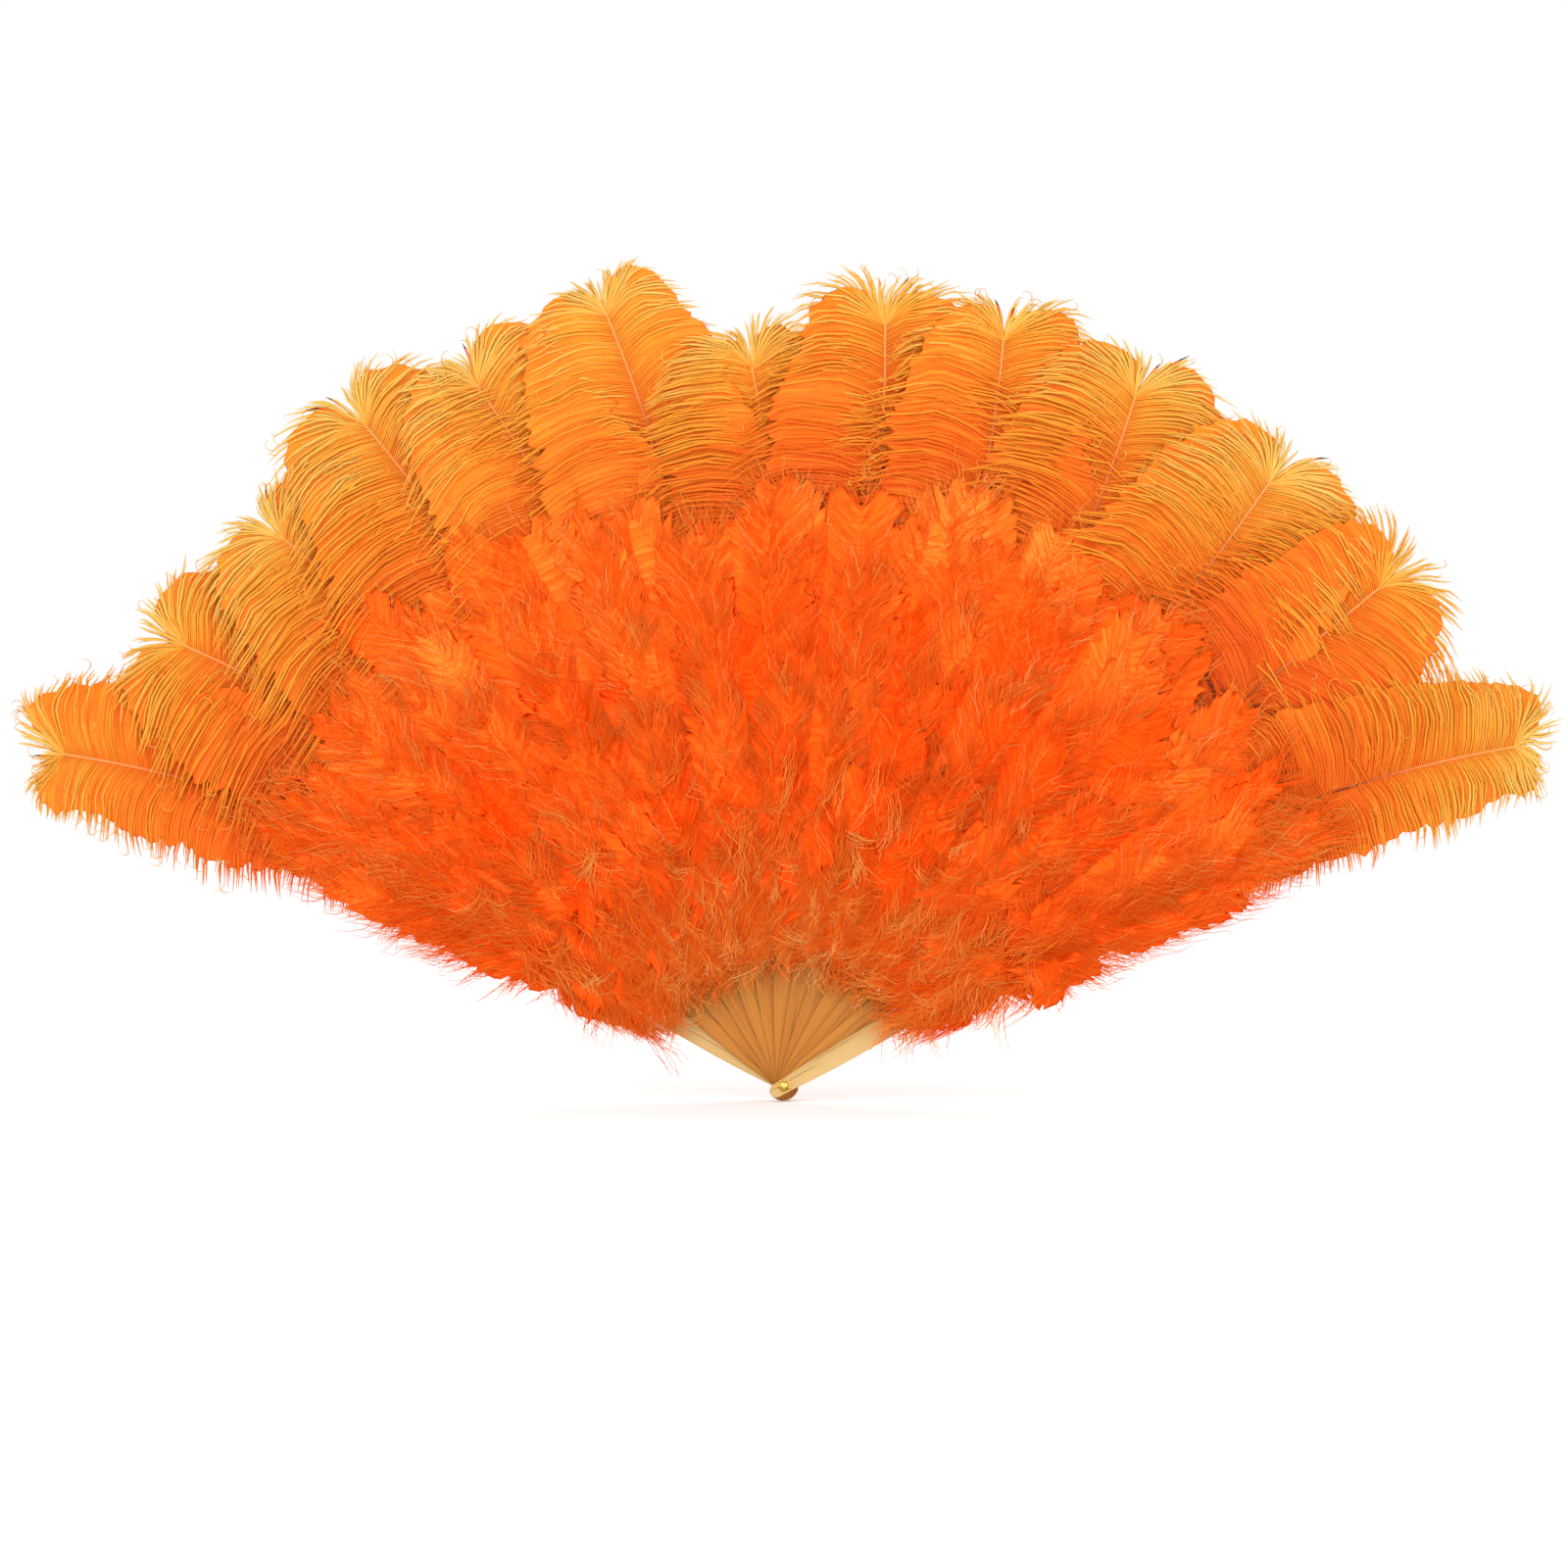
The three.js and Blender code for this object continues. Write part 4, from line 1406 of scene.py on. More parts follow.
class SharedPatterns:
    """Shader groups that more than one finish uses, each built once."""

    MOTTLE_STEPS = (9.0, 3.7)
    LINE_STEPS = (2.6, 5.5, 5.3)
    STREAK_STEPS = (3.1, 2.4)
    CLOUD_STEP = 0.12
    DARK_FIBRES = (0.56, 9.0)
    _built: dict[str, bpy.types.NodeTree] = {}

    @classmethod
    def group(cls, name: str) -> bpy.types.NodeTree:
        """Gives a group, and builds it the first time.

        Args:
            name: the group's name.

        Returns:
            The group.
        """
        if name not in cls._built:
            tree = bpy.data.node_groups.new(name, "ShaderNodeTree")
            cls._built[name] = tree
            {"Feather Strand": cls.strand, "Long Grain": cls.grain}[name](NodeBench(tree))
        return cls._built[name]

    @classmethod
    def strand(cls, bench: NodeBench) -> None:
        """Reads a strand's map: its tone, the place along it, whether it is a shaft, and its fine lines.

        Args:
            bench: the bench for the group's tree.
        """
        place = bench.new_input("Map", "NodeSocketVector")
        lengthways = bench.new_input("Streaks Lengthways", "NodeSocketFloat")
        sideways = bench.new_input("Streaks Sideways", "NodeSocketFloat")
        along, row, _ = bench.split(place)
        step = bench.math("FLOOR", row * MAP_ROWS)
        body = bench.math("GREATER_THAN", step, BODY_ROW - 0.5) * bench.math("LESS_THAN", step, SHAFT_ROW - 0.5)
        shaft = bench.math("GREATER_THAN", step, SHAFT_ROW - 0.5)
        across = row * MAP_ROWS - step
        round_body = bench.between(0.0, 1.0, (across - ROW_EDGE) / ROW_SHARE)
        body_tone = (step - BODY_ROW) / (BODY_TONES - 1)
        tone = step / (STRAND_TONES - 1)
        lengthwise, shift = cls.MOTTLE_STEPS
        mottle = bench.noise(bench.vector(along * lengthwise, step * shift, 0.0), 3.0, dimensions="2D")
        lengthwise, crosswise, shift = cls.LINE_STEPS
        combed = bench.vector(along * lengthwise, across * crosswise + step * shift, 0.0)
        lines = bench.noise(combed, 3.0, dimensions="2D")
        shift, crosswise = cls.STREAK_STEPS
        sweep = along * lengthways + round_body * sideways + step * shift
        streaks = bench.noise(bench.vector(sweep, round_body * crosswise + along, 0.0), 4.0, dimensions="2D")
        bench.new_outputs({
            "Tone": ("NodeSocketFloat", tone + (body_tone - tone) * body),
            "Along": ("NodeSocketFloat", along),
            "Lines": ("NodeSocketFloat", lines),
            "Shaft": ("NodeSocketFloat", shaft),
            "Body": ("NodeSocketFloat", body),
            "Body Row": ("NodeSocketFloat", round_body),
            "Mottle": ("NodeSocketFloat", mottle),
            "Streaks": ("NodeSocketFloat", streaks),
        })

    @classmethod
    def grain(cls, bench: NodeBench) -> None:
        """Makes long fibres that run along z: streaks, fine lines and a height.

        Args:
            bench: the bench for the group's tree.
        """
        place = bench.new_input("Place", "NodeSocketVector")
        fineness = bench.new_input("Fineness", "NodeSocketFloat", 900.0)
        stretch = bench.new_input("Stretch", "NodeSocketFloat", 0.02)
        shift = bench.new_input("Shift", "NodeSocketFloat", 0.0)
        x, y, z = bench.split(place)
        drawn = bench.vector(x * fineness + shift, y * fineness, z * fineness * stretch)
        fibre = bench.noise(drawn, 4.0)
        least, contrast = cls.DARK_FIBRES
        bench.new_outputs({
            "Fibre": ("NodeSocketFloat", fibre),
            "Cloud": ("NodeSocketFloat", bench.noise(drawn * cls.CLOUD_STEP, 2.0)),
            "Line": ("NodeSocketFloat", bench.between(0.0, 1.0, (fibre - least) * contrast)),
        })


def new_material(name: str) -> tuple[bpy.types.Material, NodeBench, bpy.types.Node]:
    """Makes a material with an empty tree but for its shader and output.

    Args:
        name: the material's name.

    Returns:
        The material, a bench for its tree, and its shader.
    """
    material = bpy.data.materials.new(name)
    material.use_nodes = True
    material.node_tree.nodes.clear()
    bench = NodeBench(material.node_tree)
    shader = bench.add("ShaderNodeBsdfPrincipled")
    output = bench.add("ShaderNodeOutputMaterial")
    material.node_tree.links.new(shader.outputs[0], output.inputs["Surface"])
    return material, bench, shader


@dataclass(frozen=True)
class FeatherFinish:
    """The finish of dyed feathers. Colours are hex, from the deepest tone to the palest."""

    name: str
    tones: Stops
    # root, root_share and root_fade: the deep colour that strands blend towards near their roots. It is partly the
    # dye's own grading and partly painted shade, where the roots lie deep in the plumage.
    root: str
    shaft: Stops
    root_share: float = 0.5
    root_fade: float = 3.0
    # body_tone, body_variety and body_rise set the tone of the webs and beds. A plume's low body_tone is painted shade
    # for the gaps between its barbs.
    body_tone: float = 0.34
    body_variety: float = 0.5
    body_rise: float = 0.1
    wisp_under: float = 0.01
    wisp_gain: float = 0.5
    wisp_fades_from: float = 0.6
    wisp_fade: float = 4.0
    streak_depth: float = 0.7
    mottle_depth: float = 0.1
    line_depth: float = 0.3
    streaks: Pair = (1.6, 36.0)
    tip_gain: float = 0.24
    flatness: float = 1.4
    body_flatness: float = 0.4
    line_height: float = 5.0
    streak_height: float = 8.0
    bump_strength: float = 0.4
    bump_distance: float = 0.1 * MM
    roughness: float = 0.6
    roughness_spread: float = 0.08
    sheen: float = 0.05
    sheen_roughness: float = 0.5
    sheen_tint: str = "ffd9a8"
    specular: float = 0.12

    def material(self) -> bpy.types.Material:
        """Builds the material of strands, webs and shafts.

        Returns:
            The material.
        """
        material, bench, shader = new_material(self.name)
        place = bench.value("ShaderNodeUVMap", {"uv_map": BAKE_MAP})
        swept = {"Map": place, "Streaks Lengthways": self.streaks[0], "Streaks Sideways": self.streaks[1]}
        strand = bench.add("ShaderNodeGroup", {"node_tree": SharedPatterns.group("Feather Strand")}, swept)
        along, tone = bench.out(strand, "Along"), bench.out(strand, "Tone")
        mottle, lines = bench.out(strand, "Mottle"), bench.out(strand, "Lines")
        body, streaks = bench.out(strand, "Body"), bench.out(strand, "Streaks")
        own, wisp = tone, bench.math("LESS_THAN", tone, self.wisp_under) * (1 - body)
        tone = tone + wisp * bench.between(self.wisp_gain, 0.0, (along - self.wisp_fades_from) * self.wisp_fade)
        # Each strand is made paler towards its tip and deeper towards its root: partly the dye's grading, partly
        # painted shade deep in the plumage.
        tone = tone + ((lines - 0.5) * self.line_depth + (along - 0.5) * self.tip_gain) * (1 - wisp)
        web_dye_and_gap_shade = self.body_tone + (own - 0.5) * self.body_variety + bench.out(strand, "Body Row") * self.body_rise
        tone = tone + (web_dye_and_gap_shade + (streaks - 0.5) * self.streak_depth - tone) * body
        dye_and_root_shade = bench.ramp(tone + (mottle - 0.5) * self.mottle_depth, self.tones)
        # Painted shade along with the dye's grading: each strand blends towards the deep root colour near its root.
        root_dye_and_shade = bench.between(self.root_share, 0.0, along * self.root_fade)
        dye_and_root_shade = bench.blend(root_dye_and_shade * (1 - body), dye_and_root_shade, dye(self.root))
        height = lines * self.line_height + streaks * body * self.streak_height
        soft = self.soft_normal(bench, bench.between(self.flatness, self.body_flatness, body))
        rough = self.roughness - self.roughness_spread, self.roughness + self.roughness_spread
        bench.feed_all(shader, {
            "Base Color": bench.blend(bench.out(strand, "Shaft"), dye_and_root_shade, bench.ramp(along, self.shaft)),
            "Roughness": bench.between(*rough, mottle),
            "Normal": bench.bump(height, self.bump_strength, self.bump_distance, soft),
            "Sheen Weight": self.sheen,
            "Sheen Roughness": self.sheen_roughness,
            "Sheen Tint": dye(self.sheen_tint),
            "Specular IOR Level": self.specular,
        })
        return material

    def soft_normal(self, bench: NodeBench, flatness: Field) -> Field:
        """Turns the normals towards the front or the back, as light that passes through down evens its shading.

        Args:
            bench: the material's bench.
            flatness: how strongly they turn.

        Returns:
            The softened normal.
        """
        geometry = bench.add("ShaderNodeNewGeometry")
        _, y, _ = bench.split(bench.out(geometry, "True Normal"))
        facing = bench.math("GREATER_THAN", y, 0.0) * 2 - 1
        return bench.call("NORMALIZE", bench.out(geometry, "Normal") + bench.vector(0.0, facing * flatness, 0.0))


@dataclass(frozen=True)
class BambooFinish:
    """The finish of a split bamboo stick, whose fibres run along it."""

    name: str
    light: str
    dark: str
    line: str
    line_share: float = 0.55
    cloud_contrast: float = 1.6
    cloud_offset: float = 0.3
    fibre_shift: float = 13.7
    roughness: Pair = (0.32, 0.57)
    bump_strength: float = 0.35
    bump_distance: float = 0.15 * MM
    specular: float = 0.18

    def material(self, turn: float, shift: float) -> bpy.types.Material:
        """Builds the material for one stick.

        Args:
            turn: the stick's turn in the open fan.
            shift: a number that gives this stick its own fibres.

        Returns:
            The material.
        """
        material, bench, shader = new_material(self.name)
        here = bench.value("ShaderNodeTexCoord", output="Object")
        upright = bench.value("ShaderNodeMapping", None, {"Vector": here, "Rotation": (0.0, -turn, 0.0)})
        group = {"node_tree": SharedPatterns.group("Long Grain")}
        grain = bench.add("ShaderNodeGroup", group, {"Place": upright, "Shift": shift * self.fibre_shift})
        fibre, cloud, line = (bench.out(grain, key) for key in ("Fibre", "Cloud", "Line"))
        cloud = bench.between(0.0, 1.0, cloud * self.cloud_contrast - self.cloud_offset)
        wood = bench.blend(cloud, dye(self.light), dye(self.dark))
        bench.feed_all(shader, {
            "Base Color": bench.blend(line * self.line_share, wood, dye(self.line)),
            "Roughness": bench.between(*self.roughness, fibre),
            "Normal": bench.bump(fibre, self.bump_strength, self.bump_distance),
            "Specular IOR Level": self.specular,
        })
        return material


@dataclass(frozen=True)
class SatinFinish:
    """The finish of the woven ribbon."""

    name: str = "orange satin ribbon"
    thread: str = "f5730f"
    # shade: the colour between the threads, painted shade in the weave's grooves, along with its bump.
    shade: str = "c9480a"
    warp_threads: int = 34
    weft_threads: int = 90
    warp_share: float = 0.7
    roughness: Pair = (0.5, 0.34)
    bump_strength: float = 0.3
    bump_distance: float = 0.1 * MM
    sheen: float = 0.3

    def material(self) -> bpy.types.Material:
        """Builds the material. Its threads follow the ribbon's own map.

        Returns:
            The material.
        """
        material, bench, shader = new_material(self.name)
        u, v, _ = bench.split(bench.value("ShaderNodeUVMap", {"uv_map": BAKE_MAP}))
        warp = bench.math("SINE", v * self.warp_threads * math.tau) * 0.5 + 0.5
        weft = bench.math("SINE", u * self.weft_threads * math.tau) * 0.5 + 0.5
        rib = warp * self.warp_share + weft * (1 - self.warp_share)
        bench.feed_all(shader, {
            # Darker between the threads: painted shade in the grooves of the weave.
            "Base Color": bench.blend(rib, dye(self.shade), dye(self.thread)),
            "Roughness": bench.between(*self.roughness, rib),
            "Normal": bench.bump(rib, self.bump_strength, self.bump_distance),
            "Sheen Weight": self.sheen,
        })
        return material


@dataclass(frozen=True)
class BrassFinish:
    """The finish of the rivet and its washers."""

    name: str = "worn brass"
    bright: str = "d8b25c"
    dull: str = "8c6a2c"
    patches_per_metre: float = 900.0
    patches_from: float = 0.42
    patch_contrast: float = 4.0
    scratches_per_metre: float = 5200.0
    patch_share: float = 0.7
    roughness: Pair = (0.25, 0.5)
    bump_strength: float = 0.15
    bump_distance: float = 0.05 * MM

    def material(self) -> bpy.types.Material:
        """Builds the material, with dull patches and fine scratches.

        Returns:
            The material.
        """
        material, bench, shader = new_material(self.name)
        here = bench.value("ShaderNodeTexCoord", output="Object")
        patch = bench.noise(here, 4.0, self.patches_per_metre)
        fine = bench.noise(here, 2.0, self.scratches_per_metre)
        wear = bench.between(0.0, 1.0, (patch - self.patches_from) * self.patch_contrast)
        rough = wear * self.patch_share + fine * (1 - self.patch_share)
        bench.feed_all(shader, {
            "Base Color": bench.blend(wear, dye(self.bright), dye(self.dull)),
            "Roughness": bench.between(*self.roughness, rough),
            "Normal": bench.bump(fine, self.bump_strength, self.bump_distance),
            "Metallic": 1.0,
        })
        return material


OSTRICH = FeatherFinish(
    name="dyed ostrich",
    tones=((0.0, "42180a"), (0.08, "de4808"), (0.3, "ee640e"), (0.5, "ee7e1a"), (0.7, "ee9a2c"), (1.0, "eeba5a")),
    root="ea6410",
    shaft=((0.0, "f3d3a0"), (0.35, "7a3212"), (0.66, "7a3212"), (0.76, "c8663a"), (0.86, "e8884e"), (1.0, "f09a58")),
    root_share=0.3,
    # The webs behind the barbs are kept deep orange-red, darker than the barbs, as painted shade in the gaps between
    # the barbs.
    body_tone=0.1,
    body_variety=0.14,
    body_rise=0.44,
    streaks=(1.6, 130.0),
)
MARABOU = FeatherFinish(
    name="dyed marabou",
    tones=((0.0, "f03a04"), (0.3, "fe5410"), (0.55, "ff6a1c"), (0.8, "ff8a32"), (1.0, "ffb464")),
    # The root colour is partly painted shade: the down's strands are kept deeper red where they lie deep in the tuft.
    root="f84a02",
    shaft=((0.0, "e86a20"), (1.0, "ff8a3a")),
    root_share=0.6,
    root_fade=1.8,
    body_tone=0.38,
    body_variety=0.7,
    body_rise=0.12,
    flatness=2.2,
    roughness=0.8,
    sheen=0.0,
    specular=0.0,
)
BAMBOO = BambooFinish("golden bamboo", light="c17f2b", dark="a6621a", line="6c3f12")
GUARD_BAMBOO = BambooFinish("pale bamboo", light="d0ae74", dark="bc9656", line="8c6230")


# Sub-assemblies


@dataclass(frozen=True)
class OstrichPlumes:
    """The thirteen ostrich plumes, one on each leaf."""

    layout: FanLayout
    seat_at: float = 145 * MM
    vane_from: float = 212 * MM
    shaft_reach: float = 0.95
    vane_reach: float = 0.945
    shaft_points: int = 28
    seed: int = 3
    first_seed: int = 11
    angle_variety: float = math.radians(5)
    curl_shares: Pair = (0.7, 1.3)
    sway_shares: Pair = (0.8, 1.5)
    folded_share: float = 0.5
    hook_counts: tuple[int, ...] = (90, 40, 14, 60, 40, 12, 20, 40, 90, 36, 40, 24, 20)
    reach_shares: Shares = (1.01, 0.95, 0.95, 1, 0.975, 1.01, 0.92, 0.98, 0.99, 0.985, 0.985, 0.99, 1.02)
    lean_shares: Shares = (
        -0.09, -0.06, -0.04, -0.04, -0.06, -0.05, -0.04, -0.04, -0.06, -0.05, -0.02, 0, 0.085,
    )
    left_shares: Shares = (0.56, 1, 1.05, 1.1, 0.95, 0.95, 0.9, 1.08, 1, 1.05, 1.05, 1.1, 0.85)
    right_shares: Shares = (0.95, 1.1, 1.05, 1.05, 1, 0.85, 0.95, 1.05, 1, 1, 1.1, 1.05, 0.52)
    sizes: BarbSizes = BarbSizes()

    def shaft(self, leaf: int) -> list[Vector]:
        """Lays out a plume's shaft, from its seat to its end in the tip.

        Args:
            leaf: the leaf's number.

        Returns:
            The shaft's points on the upright leaf.
        """
        end = self.layout.plume_reach * self.reach_shares[leaf] * self.shaft_reach
        lean = self.layout.plume_reach * self.lean_shares[leaf]
        points = []
        for number in range(self.shaft_points):
            z = self.seat_at + (end - self.seat_at) * number / (self.shaft_points - 1)
            share = max(0.0, (z - self.vane_from) / (end - self.vane_from))
            points.append(Vector((lean * share**2, 0, z)))
        return points

    def build(self, tree: BarbTree, material: bpy.types.Material) -> None:
        """Grows, dresses and hangs every plume.

        Args:
            tree: the node tree that grows its barbs.
            material: what it is dressed in.
        """
        dice = random.Random(self.seed)
        for leaf in range(self.layout.leaf_count):
            shaft = self.shaft(leaf)
            length = shaft[-1].z - shaft[0].z
            end = self.layout.plume_reach * self.reach_shares[leaf] * self.vane_reach
            sizes = replace(
                self.sizes,
                angle_at_base=self.sizes.angle_at_base + dice.uniform(-1, 1) * self.angle_variety,
                bend=self.sizes.bend + dice.uniform(-1, 1) * self.angle_variety,
                curl=self.sizes.curl * dice.uniform(*self.curl_shares),
                sway=self.sizes.sway * dice.uniform(*self.sway_shares),
                vane_start=(self.vane_from - self.seat_at) / length,
                vane_end=(end - self.seat_at) / length,
                hooks=self.hook_counts[leaf],
                left_share=self.left_shares[leaf],
                right_share=self.right_shares[leaf],
                layer_front=self.layout.front(leaf),
            )
            label, placing = self.layout.label(leaf), self.layout.placing(leaf)
            seed = self.first_seed + leaf
            piece = tree.grow(f"ostrich_plume_{label}", [shaft], sizes, seed, material, placing)
            hang(piece, self.layout, leaf, f"plume_{label}")
            keep_flat(piece, self.layout, leaf, self.folded_share)


def hang(piece: bpy.types.Object, layout: FanLayout, leaf: int, node: str) -> None:
    """Makes a piece move with its leaf and stand for its solid, and reports it.

    Args:
        piece: the finished piece.
        layout: where the leaves lie.
        leaf: the leaf's number.
        node: the solid that the piece stands for.
    """
    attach(piece, layout.body(leaf))
    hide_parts(node)
    log.info("%s: %d faces, on %s", piece.name, len(piece.data.polygons), layout.body(leaf))


def keep_flat(piece: bpy.types.Object, layout: FanLayout, leaf: int, keep: float) -> None:
    """Gives a piece its own copy of its mesh."""
    layout.front(leaf)
    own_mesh(piece)


@dataclass(frozen=True)
class MarabouTufts:
    """The thirteen tufts of marabou down, each of many small feathers on the front of its stick."""

    layout: FanLayout
    outward_roots: Shares = (112 * MM, 133 * MM, 155 * MM, 178 * MM, 201 * MM, 224 * MM, 247 * MM)
    inward_roots: Shares = (158 * MM, 141 * MM, 126 * MM, 112 * MM)
    reach_shares: Shares = (0.98, 1, 1.04, 1.03, 1, 0.98, 0.99, 1, 1.02, 1, 1.03, 1, 1)
    inward_length: float = 30 * MM
    feathers_in_row: int = 3
    shaft_length: float = 52 * MM
    shaft_points: int = 6
    root_depth: float = 16 * MM
    rise: float = 9 * MM
    heading_variety: float = math.radians(8)
    root_variety: float = 10 * MM
    outer_spread: float = math.radians(14)
    outer_limit: float = 42 * MM
    outer_web_share: float = 0.4
    outer_headings: Pair = (0.35, 1.0)
    row_spread: float = 0.45
    root_lean: float = 0.4
    lean_shares: Pair = (0.7, 1.5)
    length_shares: Pair = (0.75, 1.2)
    rise_shares: Pair = (0.7, 1.2)
    folded_share: float = 0.3
    seed: int = 5
    first_seed: int = 211
    sizes: BarbSizes = BarbSizes(
        barbs_per_side=17,
        locks=40,
        backing_strands=120,
        filaments_per_barb=2,
        vane_start=0.06,
        vane_end=0.95,
        fan_share=0.26,
        fan_length_share=0.8,
        length_at_base=27 * MM,
        length_at_tip=32 * MM,
        length_swell=8 * MM,
        length_jitter=0.25,
        angle_at_base=math.radians(62),
        angle_at_tip=math.radians(34),
        angle_jitter=math.radians(9),
        bend=math.radians(-28),
        filament_share=0.8,
        filament_radius=0.2 * MM,
        scatter=2.6 * MM,
        scatter_depth_share=0.4,
        fan_bend=math.radians(-20),
        base_lift_share=1.0,
        right_lift_share=1.0,
        lift=1 * MM,
        curl=5 * MM,
        sway=7 * MM,
        sway_size=36 * MM,
        layer_step=0.0,
        wave=1.5 * MM,
        web_share=0.66,
        shaft_radius=0.35 * MM,
        shaft_tip_radius=0.12 * MM,
    )

    def shafts(self, leaf: int) -> list[list[Vector]]:
        """Lays out a tuft's small shafts: rows that point outwards from the parting, and rows that hang from it.

        Args:
            leaf: the leaf's number.

        Returns:
            The shafts' points on the upright leaf.
        """
        dice = random.Random(self.seed * 100 + leaf)
        lines = []
        for root in self.outward_roots:
            lines += self.row(root, leaf, dice)
        for root in self.inward_roots:
            lines += self.row(root, leaf, dice, inward=True)
        return lines

    def row(self, root: float, leaf: int, dice: random.Random, inward: bool = False) -> list[list[Vector]]:
        """One row of small shafts.

        Args:
            root: the row's distance from the rivet.
            leaf: the leaf's number.
            dice: the tuft's own dice.
            inward: whether the row hangs towards the rivet.

        Returns:
            The shafts' courses.
        """
        outer = {0: -1, self.layout.leaf_count - 1: 1}.get(leaf, 0)
        lines = []
        for number in range(self.feathers_in_row + 2 * abs(outer)):
            spread = 2 * (number % self.feathers_in_row) / (self.feathers_in_row - 1) - 1
            heading = spread * self.layout.spacing * self.row_spread + dice.uniform(-1, 1) * self.heading_variety
            if number >= self.feathers_in_row:
                if inward:
                    continue
                heading = outer * dice.uniform(*self.outer_headings) * self.outer_spread
            start = root * self.reach_shares[leaf] + dice.uniform(-1, 1) * self.root_variety
            lines.append(self.shaft(start, heading, dice, inward))
        return lines

    def shaft(self, root: float, heading: float, dice: random.Random, inward: bool) -> list[Vector]:
        """One small shaft that rises from the stick and leans out to its heading.

        Args:
            root: its root's distance from the rivet.
            heading: the way it leans, from straight along the stick.
            dice: the tuft's own dice.
            inward: whether it points towards the rivet.

        Returns:
            Its course.
        """
        way = -1 if inward else 1
        length = (self.inward_length if inward else self.shaft_length) * dice.uniform(*self.length_shares)
        rise = self.rise * dice.uniform(*self.rise_shares)
        least, most = self.lean_shares
        x, z, points = math.tan(heading) * root * self.root_lean, root, []
        for number in range(self.shaft_points):
            share = number / (self.shaft_points - 1)
            depth = self.root_depth + rise * math.sin(share * math.pi / 2)
            points.append(Vector((x, -depth, z)))
            turned = heading * (least + (most - least) * share)
            x += math.sin(turned) * length / (self.shaft_points - 1)
            z += way * math.cos(turned) * length / (self.shaft_points - 1)
        return points

    def build(self, tree: BarbTree, material: bpy.types.Material) -> None:
        """Grows, dresses and hangs every tuft.

        Args:
            tree: the node tree that grows its feathers.
            material: what it is dressed in.
        """
        for leaf in range(self.layout.leaf_count):
            label = self.layout.label(leaf)
            sizes = replace(self.sizes, layer_front=self.layout.front(leaf))
            if self.layout.is_guard(leaf):
                limit = {"right_limit" if leaf else "left_limit": self.outer_limit}
                sizes = replace(sizes, web_share=self.outer_web_share, **limit)
            seed, placing = self.first_seed + leaf, self.layout.placing(leaf)
            piece = tree.grow(f"marabou_down_{label}", self.shafts(leaf), sizes, seed, material, placing)
            hang(piece, self.layout, leaf, f"marabou_{label}")
            keep_flat(piece, self.layout, leaf, self.folded_share)


